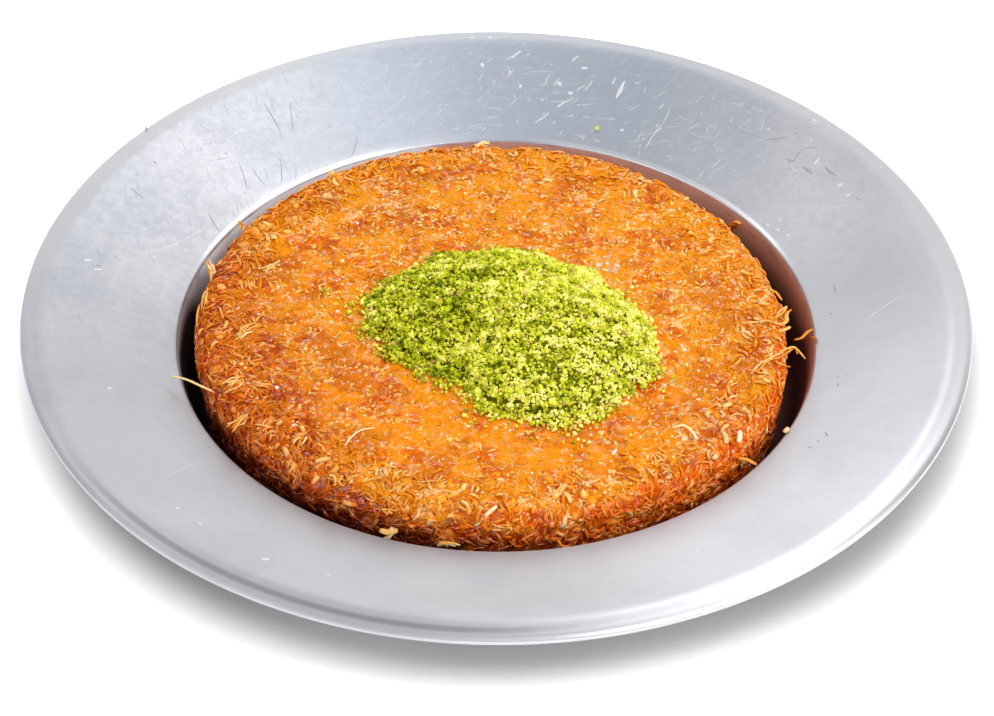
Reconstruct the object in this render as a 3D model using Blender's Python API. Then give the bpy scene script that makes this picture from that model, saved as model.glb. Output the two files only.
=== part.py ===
# Kunafa in its own serving plate: a browned disc of chopped shredded pastry sits in the
# shallow well of a wide-rimmed spun aluminium plate, with a heap of ground pistachio on top.
# Z is up, the table is z = 0, and the plate's axis is the Z axis. The +Y side is the far side.

import math
import random

import bmesh
import bpy
from mathutils import Matrix, Vector, noise

MM = 0.001
GAP = 0.3 * MM  # what touching pieces keep between them
MERGE = 0.01 * MM

# Plate
PLATE_RADIUS = 110.2 * MM
PLATE_SEGMENTS = 72
PLATE_SHARP = math.radians(35)  # edges sharper than this stay sharp in the shading
SHEET = 1.5 * MM
FLOOR_RADIUS = 67 * MM  # flat floor of the well, out to where its corner starts
FLOOR_CORNER = 3.5 * MM
WALL_LEAN = math.radians(12)  # the wall opens outwards by this much
MOUTH_RADIUS = 74.5 * MM
MOUTH_HEIGHT = 18 * MM
MOUTH_BEND = 1.8 * MM
MOUTH_OUT = 0.6 * MOUTH_BEND  # how far the bend's centre lies outside the mouth
MOUTH_DOWN = 0.8 * MOUTH_BEND  # and how far below it
RIM_RISE = math.radians(14.6)  # the rim climbs outwards by this much
CREST_RADIUS = 105.2 * MM
CREST_HEIGHT = 26.7 * MM
CREST_BEND = 2.4 * MM  # where the rim turns down before its bead
CREST_END = math.radians(15)  # the direction from the bend's centre in which it ends, from outwards
BEAD_RADIUS = 1.25 * MM
BEAD_HEIGHT = 24.6 * MM
BEAD_START = math.radians(135)  # where the bead begins, from outwards round its centre

# Pastry
PASTRY_RADIUS = 67.9 * MM
PASTRY_CENTRE = Vector((-1.6 * MM, -1.0 * MM))
PASTRY_TOP = 24.3 * MM
PASTRY_FLAT = 44 * MM  # the top is flat out to here, then falls a little
PASTRY_FALL = 0.5 * MM
BULGE = 0.034  # how much farther out the disc reaches where it bulges, as a share
BULGE_TURN = math.radians(-30)  # the direction of the bulge
BULGE_SPREAD = math.radians(24)  # and how far it spreads to each side
SHOULDER = 4.5 * MM
FOOT = 4.0 * MM
FOOT_INSET = 1.2 * MM
PASTRY_CELLS = 36  # cells across the sheet that is wrapped over top and side
PASTRY_RELIEF = 0.55 * MM
PASTRY_GRAIN = 4.5 * MM
FINER = 2.1  # the second layer of bumps is this many times finer
FINER_SHARE = 0.5  # and this much as high

# Chopped strands fused to the pastry
STRAND_COUNT = 112
STRAND_WIDTH = (0.8 * MM, 1.2 * MM)
STRAND_LENGTH = (5 * MM, 10 * MM)
STRAND_STEPS = 2
STRAND_SINK = 0.45 * MM
STRAND_ARCH = 1.05 * MM
STRAND_BEND = 1 * MM
STRAND_LOWEST = 7 * MM  # none on the side below this
STRAND_CLEAR = 1 * MM  # what a strand's end keeps from the heap
SIDE_STEEP = 0.5  # a strand counts as one on the side from this steepness, where 1 is upright
SIDE_TURN = 0.4  # how far a strand on the side turns from level, in radians
SIDE_FLATTER = 0.4  # how much lower the arches are on the side

# Strands that stand out by themselves: where each one leaves the pastry, and where its tip is, in mm
LOOSE_ENDS = [
    ((-64.5, -25.2, 20.5), (-70.3, -23.0, 21.8), (-75.2, -19.6, 21.2)),  # over the mouth of the well
    ((-64.0, 19.5, 22.0), (-67.2, 21.5, 23.2), (-68.6, 25.0, 24.0)),
    ((-64.5, 12.0, 22.3), (-68.0, 12.6, 22.9), (-69.4, 16.5, 22.6)),
    ((-65.8, -4.0, 20.6), (-68.6, -6.5, 21.0), (-70.0, -10.0, 20.2)),
    ((63.2, -8.6, 21.2), (67.6, -8.0, 21.4), (70.2, -11.2, 19.8)),
    ((63.0, -12.0, 21.0), (67.0, -11.0, 20.6), (69.4, -8.6, 20.8)),
    ((61.0, 10.0, 22.4), (64.6, 11.0, 22.8), (66.6, 8.0, 22.2)),
    ((-26.0, -58.5, 19.0), (-24.6, -62.0, 19.2), (-22.0, -64.6, 17.6)),
    ((-13.5, -62.0, 18.6), (-15.0, -65.8, 18.4), (-12.0, -68.0, 16.4)),
]
LOOSE_WIDTH = 0.9 * MM
LOOSE_THINNER = 0.2  # how much thinner the second bar is
LOOSE_OVERLAP = 0.6 * LOOSE_WIDTH

# Pistachio heap, and the stray crumbs round it. Its reaches from its centre go round in steps of
# 20 degrees from +X, anticlockwise, in mm.
HEAP_CENTRE = Vector((5.5 * MM, -5.0 * MM))
HEAP_REACHES = (29, 25.5, 24.5, 24.5, 25.5, 27, 29.5, 31.5, 35.5,
                34, 30.5, 25.5, 24.5, 31, 34, 35.5, 33.5, 33)
HEAP_LOBES = 0.7 * MM
HEAP_HEIGHT = 8.6 * MM
HEAP_EDGE = 1.0 * MM
HEAP_FULLNESS = 0.9  # under 1 the heap's sides are fuller than a parabola's
HEAP_CELLS = 24
HEAP_LUMPS = 1.3 * MM
HEAP_LUMP_SIZE = 12 * MM
HEAP_RELIEF = 0.8 * MM
HEAP_GRAIN = 2.4 * MM
LUMPS_FADE = 3  # the lumps fade out over the last third of the way to the edge
RELIEF_FADE = 4  # and the finer relief over the last quarter
GRAIN_COUNT = 50
GRAIN_SPREAD = 0.97  # how far out towards the heap's edge the grains lie
GRAIN_RADIUS = (0.9 * MM, 1.5 * MM)
GRAIN_RISE = 0.2  # how many radii a grain's middle lies above the heap
GRAIN_CLEAR = 1.25  # the fewest radii from a grain's middle down to the heap's base
GRAIN_ROUGHNESS = (0.8, 1.15)
CRUMB_COUNT = 14
CRUMB_RADIUS = (0.7 * MM, 1.2 * MM)
CRUMB_REACH = (2.5 * MM, 8 * MM)
CRUMB_RISE = 0.4  # how many radii a crumb's middle lies above the pastry

SEED = 11
GOLDEN_ANGLE = math.pi * (3 - math.sqrt(5))


def clear_scene():
    for old in list(bpy.data.objects):
        bpy.data.objects.remove(old)


def material(name, colour, roughness, metallic=0.0):
    made = bpy.data.materials.new(name)
    made.use_nodes = True
    shader = made.node_tree.nodes["Principled BSDF"]
    shader.inputs["Base Color"].default_value = (*colour, 1)
    shader.inputs["Roughness"].default_value = roughness
    shader.inputs["Metallic"].default_value = metallic
    return made


def object_from(bm, name, finish=None, collection=None):
    bmesh.ops.recalc_face_normals(bm, faces=bm.faces)
    mesh = bpy.data.meshes.new(name)
    bm.to_mesh(mesh)
    bm.free()
    if finish:
        mesh.materials.append(finish)
    made = bpy.data.objects.new(name, mesh)
    (collection or bpy.context.scene.collection).objects.link(made)
    return made


def arc(centre, radius, start, end, steps):
    """Points (r, z) on an arc, its angles in radians from outwards, anticlockwise."""
    turns = [start + (end - start) * i / steps for i in range(steps + 1)]
    return [(centre[0] + radius * math.cos(t), centre[1] + radius * math.sin(t)) for t in turns]


# Plate

def plate_profile():
    """The closed section of the plate, from the axis over its upper side and back underneath."""
    wall = -WALL_LEAN
    rim = math.pi / 2 + RIM_RISE
    corner = (FLOOR_RADIUS, SHEET + FLOOR_CORNER)
    mouth = (MOUTH_RADIUS + MOUTH_OUT, MOUTH_HEIGHT - MOUTH_DOWN)
    bead = (PLATE_RADIUS - BEAD_RADIUS, BEAD_HEIGHT)
    crest = (CREST_RADIUS, CREST_HEIGHT - CREST_BEND)

    upper = [(0, SHEET)]
    upper += arc(corner, FLOOR_CORNER, -math.pi / 2, wall, 2)
    upper += arc(mouth, MOUTH_BEND, math.pi + wall, rim, 2)
    upper += arc(crest, CREST_BEND, rim, CREST_END, 3)
    edge = arc(bead, BEAD_RADIUS, BEAD_START, -math.pi / 2, 5)
    under = arc(crest, CREST_BEND - SHEET, CREST_END, rim, 1)
    under += arc(mouth, MOUTH_BEND - SHEET, rim, math.pi + wall, 1)
    under += arc(corner, FLOOR_CORNER + SHEET, wall, -math.pi / 2, 2)
    return upper + edge + under + [(0, 0)]


def make_plate(finish):
    bm = bmesh.new()
    ring = [bm.verts.new((r, 0, z)) for r, z in plate_profile()]
    edges = [bm.edges.new(pair) for pair in zip(ring, ring[1:])]
    bmesh.ops.spin(bm, geom=ring + edges, axis=(0, 0, 1), cent=(0, 0, 0),
                   angle=math.tau, steps=PLATE_SEGMENTS, use_merge=True)
    bmesh.ops.remove_doubles(bm, verts=bm.verts, dist=MERGE)
    plate = object_from(bm, "plate", finish)
    plate.data.shade_smooth()
    plate.data.set_sharp_from_angle(angle=PLATE_SHARP)
    return plate


# Pastry

def pastry_profile():
    """The pastry's outline (r, z), from the middle of its top down its side to its foot."""
    top = PASTRY_TOP - PASTRY_FALL
    shoulder = (PASTRY_RADIUS - SHOULDER, top - SHOULDER)
    foot = (PASTRY_RADIUS - FOOT_INSET - FOOT, SHEET + GAP + FOOT)
    line = [(0, PASTRY_TOP), (PASTRY_FLAT, PASTRY_TOP)]
    line += arc(shoulder, SHOULDER, math.pi / 2, 0, 5)
    line += arc(foot, FOOT, 0, -math.pi / 2, 3)
    return line


def along(line, distance):
    """The point that far along the line, and the outward normal there."""
    for start, end in zip(line, line[1:]):
        step = (end[0] - start[0], end[1] - start[1])
        length = math.hypot(*step)
        if distance <= length or end == line[-1]:
            part = min(distance / length, 1)
            spot = (start[0] + step[0] * part, start[1] + step[1] * part)
            return spot, (-step[1] / length, step[0] / length)
        distance -= length
    return line[-1], (0, -1)


def length_of(line):
    return sum(math.dist(start, end) for start, end in zip(line, line[1:]))


def on_pastry(line, distance, turn):
    """The point and the outward normal on the smooth pastry, that far out from the middle of its top."""
    (r, z), (nr, nz) = along(line, distance)
    out = Vector((math.cos(turn), math.sin(turn), 0))
    beside = (turn - BULGE_TURN + math.pi) % math.tau - math.pi
    r *= 1 + BULGE * math.exp(-(beside / BULGE_SPREAD) ** 2)
    point = out * r + Vector((PASTRY_CENTRE.x, PASTRY_CENTRE.y, z))
    return point, out * nr + Vector((0, 0, nz))


def heap_edge(turn):
    """How far the pistachio heap reaches from its centre in that direction, on a smooth closed line."""
    count = len(HEAP_REACHES)
    place = (turn % math.tau) / math.tau * count
    start, part = int(place), place % 1
    a, b, c, d = (HEAP_REACHES[(start + step) % count] * MM for step in (-1, 0, 1, 2))
    reach = b + part * (c - a + part * (2 * a - 5 * b + 4 * c - d + part * (3 * (b - c) + d - a))) / 2
    return reach + HEAP_LOBES * (math.sin(9 * turn) + 0.7 * math.sin(14 * turn + 2))


def beyond_heap(point):
    """How far outside the heap's edge a point lies, seen from above. It is negative under the heap."""
    away = point.xy - HEAP_CENTRE
    return away.length - heap_edge(math.atan2(away.y, away.x))


def square_to_disc(x, y):
    """Carries a square from -1 to 1 onto the unit disc, with its cells kept nearly even."""
    return x * math.sqrt(1 - y * y / 2), y * math.sqrt(1 - x * x / 2)


def cloth_of_cells(bm, cells, place):
    """A sheet of square cells laid over a round shape. place takes (radius from 0 to 1, direction)."""
    bmesh.ops.create_grid(bm, x_segments=cells, y_segments=cells, size=1)
    for vert in bm.verts:
        x, y = square_to_disc(vert.co.x, vert.co.y)
        vert.co = place(math.hypot(x, y), math.atan2(y, x))


def close_below(bm, lowest=None):
    """Closes the sheet's open edge with one flat face, after dropping it to a height if one is given."""
    rim = [edge for edge in bm.edges if edge.is_boundary]
    if lowest is not None:
        made = bmesh.ops.extrude_edge_only(bm, edges=rim)["geom"]
        for vert in (item for item in made if isinstance(item, bmesh.types.BMVert)):
            vert.co.z = lowest
        rim = [item for item in made if isinstance(item, bmesh.types.BMEdge) and item.is_boundary]
    bmesh.ops.edgeloop_fill(bm, edges=rim)


def make_pastry_core(finish):
    line = pastry_profile()
    reach = length_of(line)

    def place(share, turn):
        point, normal = on_pastry(line, share * reach, turn)
        bumps = noise.noise(point / PASTRY_GRAIN) + FINER_SHARE * noise.noise(point * FINER / PASTRY_GRAIN)
        clear = min(max(beyond_heap(point) / PASTRY_GRAIN, 0), 1)
        held = min(max((point.z - SHEET - GAP) / FOOT, 0), 1)  # the foot stays flat on the plate
        return point + normal * (bumps * PASTRY_RELIEF * clear * held)

    bm = bmesh.new()
    cloth_of_cells(bm, PASTRY_CELLS, place)
    close_below(bm)
    return object_from(bm, "kunafa", finish)


def strand(bm, width, length, arch, bend):
    """One chopped strand along X: a bar cut into steps, then arched in Z and bent in Y."""
    bmesh.ops.create_cube(bm, size=1)
    bmesh.ops.scale(bm, vec=(length, width, width), verts=bm.verts)
    for cut in range(1, STRAND_STEPS):
        geom = bm.verts[:] + bm.edges[:] + bm.faces[:]
        spot = (length * (cut / STRAND_STEPS - 0.5), 0, 0)
        bmesh.ops.bisect_plane(bm, geom=geom, dist=MERGE, plane_co=spot, plane_no=(1, 0, 0))
    for vert in bm.verts:
        across = 2 * vert.co.x / length
        vert.co.z += arch * (1 - across ** 2)
        vert.co.y += bend * across ** 2


def frame_at(point, normal, turn):
    """A placing matrix at the point: Z along the normal, and X turned about it."""
    facing = normal.to_track_quat("Z", "X").to_matrix().to_4x4()
    return Matrix.Translation(point) @ facing @ Matrix.Rotation(turn, 4, "Z")


def make_strands(collection, draw):
    line = pastry_profile()
    reach = length_of(line)
    for count in range(STRAND_COUNT):
        share = math.sqrt((count + 0.5) / STRAND_COUNT)
        spin = count * GOLDEN_ANGLE
        width, length = draw.uniform(*STRAND_WIDTH), draw.uniform(*STRAND_LENGTH)
        turn, bend = draw.uniform(0, math.tau), draw.uniform(-1, 1) * STRAND_BEND
        point, normal = on_pastry(line, share * reach, spin)
        steep = 1 - normal.z
        if steep > SIDE_STEEP:  # here a strand runs round the disc
            turn = math.pi / 2 + draw.uniform(-SIDE_TURN, SIDE_TURN)
        if point.z < STRAND_LOWEST or beyond_heap(point) < length / 2 + STRAND_CLEAR:
            continue
        bm = bmesh.new()
        strand(bm, width, length, STRAND_ARCH * (1 - SIDE_FLATTER * steep), bend)
        bmesh.ops.transform(bm, matrix=frame_at(point - normal * STRAND_SINK, normal, turn), verts=bm.verts)
        object_from(bm, f"strand_{count}", collection=collection)


def make_loose_ends(collection):
    """Two bars for each standing strand, the second one starting inside the end of the first."""
    for count, stops in enumerate(LOOSE_ENDS):
        stops = [Vector(stop) * MM for stop in stops]
        for part, (start, end) in enumerate(zip(stops, stops[1:])):
            bm = bmesh.new()
            bmesh.ops.create_cube(bm, size=1)
            width = LOOSE_WIDTH * (1 - LOOSE_THINNER * part)
            span = (end - start).length + LOOSE_OVERLAP
            bmesh.ops.scale(bm, vec=(width, width, span), verts=bm.verts)
            facing = (end - start).to_track_quat("Z", "Y").to_matrix().to_4x4()
            bmesh.ops.transform(bm, matrix=Matrix.Translation((start + end) / 2) @ facing, verts=bm.verts)
            object_from(bm, f"loose_{count}_{part}", collection=collection)


def grain(bm, radius, draw):
    """One broken nut grain: a rough ball of twenty faces."""
    bmesh.ops.create_icosphere(bm, subdivisions=1, radius=radius)
    for vert in bm.verts:
        vert.co *= draw.uniform(*GRAIN_ROUGHNESS)


def make_crumbs(collection, draw):
    for count in range(CRUMB_COUNT):
        turn = count * GOLDEN_ANGLE
        radius = draw.uniform(*CRUMB_RADIUS)
        away = heap_edge(turn) + draw.uniform(*CRUMB_REACH)
        spot = HEAP_CENTRE + away * Vector((math.cos(turn), math.sin(turn)))
        bm = bmesh.new()
        grain(bm, radius, draw)
        bmesh.ops.translate(bm, vec=(spot.x, spot.y, PASTRY_TOP + radius * CRUMB_RISE), verts=bm.verts)
        object_from(bm, f"crumb_{count}", collection=collection)


# Pistachio heap

def heap_height(share):
    """The smooth heap's height over its base, at that share of the way to its edge."""
    return HEAP_EDGE + (HEAP_HEIGHT - HEAP_EDGE) * max(1 - share ** 2, 0) ** HEAP_FULLNESS


def heap_lumps(spot, share):
    """How far the heap's broad lumps lift or lower it there."""
    lumps = noise.noise(Vector((spot.x, spot.y, 0)) / HEAP_LUMP_SIZE + Vector((5, 2, 8)))
    return HEAP_LUMPS * lumps * min(1, LUMPS_FADE * (1 - share))


def make_heap_core(finish):
    base = PASTRY_TOP + GAP

    def place(share, turn):
        spot = HEAP_CENTRE + share * heap_edge(turn) * Vector((math.cos(turn), math.sin(turn)))
        point = Vector((spot.x, spot.y, base + heap_height(share) + heap_lumps(spot, share)))
        bumps = noise.noise(point / HEAP_GRAIN + Vector((7, 3, 1)))
        point.z += bumps * HEAP_RELIEF * min(1, RELIEF_FADE * (1 - share))
        return point

    bm = bmesh.new()
    cloth_of_cells(bm, HEAP_CELLS, place)
    close_below(bm, lowest=base)
    return object_from(bm, "pistachio", finish)


def make_grains(collection, draw):
    base = PASTRY_TOP + GAP
    for count in range(GRAIN_COUNT):
        share = GRAIN_SPREAD * math.sqrt((count + 0.5) / GRAIN_COUNT)
        turn = count * GOLDEN_ANGLE
        radius = draw.uniform(*GRAIN_RADIUS)
        spot = HEAP_CENTRE + share * heap_edge(turn) * Vector((math.cos(turn), math.sin(turn)))
        surface = base + heap_height(share) + heap_lumps(spot, share)
        height = max(surface + GRAIN_RISE * radius, base + GRAIN_CLEAR * radius)
        bm = bmesh.new()
        grain(bm, radius, draw)
        bmesh.ops.translate(bm, vec=(spot.x, spot.y, height), verts=bm.verts)
        object_from(bm, f"grain_{count}", collection=collection)


# Joining

def new_collection(name):
    made = bpy.data.collections.new(name)
    bpy.context.scene.collection.children.link(made)
    return made


def islands(bm):
    """The separate closed skins of a mesh, each as a set of its vertices."""
    left, found = set(bm.verts), []
    while left:
        front = [left.pop()]
        island = set(front)
        while front:
            linked = {edge.other_vert(vert) for vert in front for edge in vert.link_edges}
            front = list(linked - island)
            island.update(front)
        left -= island
        found.append(island)
    return found


def keep_the_body(mesh):
    """Drops loose scraps, and the skins of hollows that the joining has sealed."""
    bm = bmesh.new()
    bm.from_mesh(mesh)
    found = sorted(islands(bm), key=len)
    for scrap in found[:-1]:
        bmesh.ops.delete(bm, geom=list(scrap), context="VERTS")
    bm.to_mesh(mesh)
    bm.free()


def fuse(core, collection):
    """Joins every object of the collection to the core, and removes them."""
    join = core.modifiers.new("fuse", "BOOLEAN")
    join.operation = "UNION"
    join.solver = "EXACT"
    join.operand_type = "COLLECTION"
    join.collection = collection
    bpy.context.view_layer.update()
    graph = bpy.context.evaluated_depsgraph_get()
    joined = bpy.data.meshes.new_from_object(core.evaluated_get(graph))
    core.modifiers.clear()
    core.data = joined
    keep_the_body(joined)
    for used in list(collection.objects):
        bpy.data.objects.remove(used)
    bpy.data.collections.remove(collection)


def main():
    clear_scene()
    draw = random.Random(SEED)
    aluminium = material("aluminium", (0.62, 0.63, 0.66), 0.35, 1.0)
    pastry = material("pastry", (0.80, 0.27, 0.03), 0.4)
    nut = material("nut", (0.40, 0.42, 0.03), 0.7)

    make_plate(aluminium)

    kunafa = make_pastry_core(pastry)
    on_top = new_collection("on_pastry")
    make_strands(on_top, draw)
    make_loose_ends(on_top)
    make_crumbs(on_top, draw)
    fuse(kunafa, on_top)

    heap = make_heap_core(nut)
    grains = new_collection("grains")
    make_grains(grains, draw)
    fuse(heap, grains)


main()
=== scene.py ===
import math

import bmesh
import bpy
import numpy as np
from mathutils import Matrix, Vector, noise


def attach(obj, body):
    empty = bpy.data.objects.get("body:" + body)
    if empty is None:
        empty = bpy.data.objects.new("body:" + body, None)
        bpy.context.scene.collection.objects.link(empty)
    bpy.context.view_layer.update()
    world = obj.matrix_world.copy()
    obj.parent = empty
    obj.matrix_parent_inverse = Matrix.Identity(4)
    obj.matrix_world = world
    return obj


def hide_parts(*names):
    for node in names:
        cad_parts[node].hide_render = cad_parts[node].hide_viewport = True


mm = 0.001
goldenAngle = math.pi * (3 - math.sqrt(5))

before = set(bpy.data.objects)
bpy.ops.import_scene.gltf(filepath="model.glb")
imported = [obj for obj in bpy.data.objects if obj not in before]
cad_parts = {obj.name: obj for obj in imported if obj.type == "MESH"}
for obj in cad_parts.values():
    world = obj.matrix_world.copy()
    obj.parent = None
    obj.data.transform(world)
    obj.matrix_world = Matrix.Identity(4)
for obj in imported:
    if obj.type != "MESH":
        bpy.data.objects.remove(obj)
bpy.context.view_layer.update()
noise.seed_set(1)  # noise_vector goes by the time of day otherwise
print("frame loaded")


# Shader maths


class Wire:
    # one output of a node; sums and products of wires add Math nodes
    def __init__(self, maker, socket):
        self.maker = maker
        self.socket = socket

    def __add__(self, other):
        return self.maker.maths("ADD", self, other)

    def __sub__(self, other):
        return self.maker.maths("SUBTRACT", self, other)

    def __rsub__(self, other):
        return self.maker.maths("SUBTRACT", other, self)

    def __mul__(self, other):
        return self.maker.maths("MULTIPLY", self, other)

    def __truediv__(self, other):
        return self.maker.maths("DIVIDE", self, other)

    __radd__ = __add__
    __rmul__ = __mul__


class Recipe:
    # the few node calls that a material or the sky needs
    def __init__(self, tree, shader):
        self.nodes = tree.nodes
        self.links = tree.links
        self.shader = tree.nodes[shader]

    def feed(self, socket, value):
        if isinstance(value, Wire):
            self.links.new(value.socket, socket)
        else:
            socket.default_value = value

    def node(self, kind, settings=None, sockets=None, output=0):
        made = self.nodes.new(kind)
        for key, value in (settings or {}).items():
            if key == "stops":
                self.setStops(made.color_ramp, value)
            else:
                setattr(made, key, value)
        for key, value in (sockets or {}).items():
            self.feed(made.inputs[key], value)
        return Wire(self, made.outputs[output])

    def setStops(self, ramp, stops):
        while len(ramp.elements) < len(stops):
            ramp.elements.new(1)
        for element, (place, colour) in zip(ramp.elements, stops):
            element.position = place
            element.color = (*colour, 1)

    def maths(self, operation, *values):
        return self.node("ShaderNodeMath", {"operation": operation}, dict(enumerate(values)))

    def root(self, value):
        return self.maths("SQRT", value)

    def place(self):
        return self.node("ShaderNodeTexCoord", output=3)

    def attribute(self, name):
        return self.node("ShaderNodeAttribute", {"attribute_name": name}, output=2)

    def shifted(self, vector, distance):
        # the same place some way off, for a second noise that owes nothing to the first
        sockets = {0: vector, 1: (distance, distance, distance)}
        return self.node("ShaderNodeVectorMath", {"operation": "ADD"}, sockets)

    def axes(self, vector):
        return [self.node("ShaderNodeSeparateXYZ", sockets={0: vector}, output=axis) for axis in range(3)]

    def vector(self, x, y, z):
        return self.node("ShaderNodeCombineXYZ", sockets={0: x, 1: y, 2: z})

    def noise(self, vector, scale, detail=2.0, rough=0.5, twist=0.0):
        sockets = {"Vector": vector, "Scale": scale, "Detail": detail, "Roughness": rough,
                   "Distortion": twist}
        return self.node("ShaderNodeTexNoise", sockets=sockets)

    def ease(self, value, low, high, to=(0.0, 1.0)):
        # a soft step from the first to the second of to, while the value goes from low to high
        sockets = {"Value": value, "From Min": low, "From Max": high, "To Min": to[0], "To Max": to[1]}
        return self.node("ShaderNodeMapRange", {"interpolation_type": "SMOOTHSTEP"}, sockets)

    def ramp(self, value, stops):
        return self.node("ShaderNodeValToRGB", {"stops": stops}, {0: value})

    def mix(self, factor, first, second):
        first, second = (colour if isinstance(colour, Wire) else (*colour, 1) for colour in (first, second))
        return self.node("ShaderNodeMix", {"data_type": "RGBA"}, {0: factor, 6: first, 7: second}, output=2)

    def bump(self, height, distance, strength=1.0):
        sockets = {"Height": height, "Distance": distance, "Strength": strength}
        return self.node("ShaderNodeBump", sockets=sockets)

    def put(self, socket, value):
        self.feed(self.shader.inputs[socket], value)


class Finish(Recipe):
    # a piece's material; the values named here are the same all over it
    def __init__(self, name, **fixed):
        self.material = bpy.data.materials.new(name)
        self.material.use_nodes = True
        super().__init__(self.material.node_tree, "Principled BSDF")
        for socket, value in fixed.items():
            self.put(socket.replace("_", " "), value)


# Meshes


def pieceFrom(bm, name, finish, smooth=True):
    bmesh.ops.remove_doubles(bm, verts=bm.verts, dist=0.005 * mm)
    bmesh.ops.recalc_face_normals(bm, faces=bm.faces)
    mesh = bpy.data.meshes.new(name)
    bm.to_mesh(mesh)
    bm.free()
    return pieceOf(mesh, name, finish, smooth)


def pieceOf(mesh, name, finish, smooth=True):
    mesh.materials.append(finish.material)
    if smooth:
        mesh.shade_smooth()
    else:
        mesh.shade_flat()
    made = bpy.data.objects.new(name, mesh)
    bpy.context.scene.collection.objects.link(made)
    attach(made, "root")
    mesh.calc_loop_triangles()
    print(f"{name}: {len(mesh.loop_triangles)} triangles")
    return made


def arc(centre, radius, start, end, steps):
    turns = [math.radians(start + (end - start) * i / steps) for i in range(steps + 1)]
    return [(centre[0] + radius * math.cos(t), centre[1] + radius * math.sin(t)) for t in turns]


def squareToDisc(x, y):
    return x * math.sqrt(1 - y * y / 2), y * math.sqrt(1 - x * x / 2)


def clothOfCells(bm, cells, place):
    # a sheet of square cells laid over a round shape; place takes the share of its radius and a direction
    bmesh.ops.create_grid(bm, x_segments=cells, y_segments=cells, size=1)
    for vert in bm.verts:
        x, y = squareToDisc(vert.co.x, vert.co.y)
        vert.co = place(math.hypot(x, y), math.atan2(y, x))


def closeBelow(bm, lowest=None):
    rim = [edge for edge in bm.edges if edge.is_boundary]
    if lowest is not None:
        made = bmesh.ops.extrude_edge_only(bm, edges=rim)["geom"]
        for vert in (item for item in made if isinstance(item, bmesh.types.BMVert)):
            vert.co.z = lowest
        rim = [item for item in made if isinstance(item, bmesh.types.BMEdge) and item.is_boundary]
    bmesh.ops.edgeloop_fill(bm, edges=rim)


def templateOf(bm):
    # a small shape's points and faces as arrays, to be laid out many times
    points = np.array([vert.co[:] for vert in bm.verts])
    bm.verts.index_update()
    faces = np.array([[vert.index for vert in face.verts] for face in bm.faces])
    bm.free()
    return points, faces


def evenShares(inner, outer, count):
    # shares of a radius at which things lie evenly spread over a ring
    return np.sqrt(inner ** 2 + (outer ** 2 - inner ** 2) * (np.arange(count) + 0.5) / count)


def smoothBetween(a, b, c, d, part):
    # a point on a smooth line through four stops, part of the way from the second to the third
    return b + part * (c - a + part * (2 * a - 5 * b + 4 * c - d + part * (3 * (b - c) + d - a))) / 2


def layOut(name, points, faces, finish, tones, smooth=True):
    # points has one row of corners for each copy, and every copy has the template's faces; tones has one
    # value for each copy, or one row like that of the corners
    copies, corners = points.shape[:2]
    tones = np.broadcast_to(np.reshape(tones, (copies, -1)), (copies, corners))
    sides = faces.shape[1]
    allFaces = (faces[None] + corners * np.arange(copies)[:, None, None]).reshape(-1, sides)
    mesh = bpy.data.meshes.new(name)
    mesh.vertices.add(copies * corners)
    mesh.vertices.foreach_set("co", points.reshape(-1).astype(np.float32))
    mesh.loops.add(allFaces.size)
    mesh.loops.foreach_set("vertex_index", allFaces.reshape(-1).astype(np.int32))
    mesh.polygons.add(len(allFaces))
    mesh.polygons.foreach_set("loop_start", np.arange(0, allFaces.size, sides, dtype=np.int32))
    mesh.update(calc_edges=True)
    mesh.validate()
    tone = mesh.attributes.new("tone", "FLOAT", "POINT")
    tone.data.foreach_set("value", tones.reshape(-1).astype(np.float32))
    return pieceOf(mesh, name, finish, smooth)


# Plate

plate = {
    "radius": 110.2 * mm,
    "sheet": 1.5 * mm,
    "floor radius": 67 * mm,
    "floor corner": 3.5 * mm,
    "wall lean": 12,
    "wall slope": 0.2823,  # how far the wall moves out for each step up, between its two bends
    "mouth radius": 74.5 * mm,
    "mouth height": 18 * mm,
    "mouth bend": 0.95 * mm,
    "rim rise": 14.6,
    "crest radius": 105.2 * mm,
    "crest height": 26.7 * mm,
    "crest bend": 2.4 * mm,
    "crest start": 97 * mm,
    "crest end": 35,
    "crest rounding": 16,
    "bead radius": 1.25 * mm,
    "bead height": 24.6 * mm,
    "bead start": 115,
    "segments": 288,
    "wobble": 0.12 * mm,  # how far the beaten rim leaves its true form
    "wobble size": 42 * mm,
    "metal": (0.537, 0.539, 0.568),
    "tarnishAndShade": (0.41, 0.42, 0.45),
    "ring": (0.49, 0.50, 0.53),
    "score": (0.34, 0.35, 0.38),
    "far side": (0.39, 0.43, 0.515),
    "rubbed": (0.62, 0.635, 0.66),
    "smudge": (0.40, 0.41, 0.44),
    "painted groove shade": (0.12, 0.12, 0.12),
    # the wall of the well: browned butter with a painted reflection of the pastry, and painted shade
    "bare wall painted reflection": (0.93, 0.95, 0.99),
    "grey wall shade": (0.42, 0.40, 0.42),
    "butter and painted reflection": (0.72, 0.36, 0.27),
    "red butter and painted reflection": (0.60, 0.22, 0.12),
    "streak": (0.30, 0.11, 0.08),
    "deep painted shade": (0.016, 0.002, 0.001),
    "deep red painted shade": (0.075, 0.008, 0.005),
    "mouth polish and highlight": (0.86, 0.865, 0.885),  # the mouth's worn ridge, with a painted highlight
    "worn lip": (0.50, 0.50, 0.515),
    "lip polish and highlight": (0.74, 0.75, 0.76),
    "roughness": (0.42, 0.50),
    "smoother lip": 0.14,  # how much smoother the lip is in front
    "brushing": 0.65,
    "brushing turn": 0.25,
}


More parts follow.
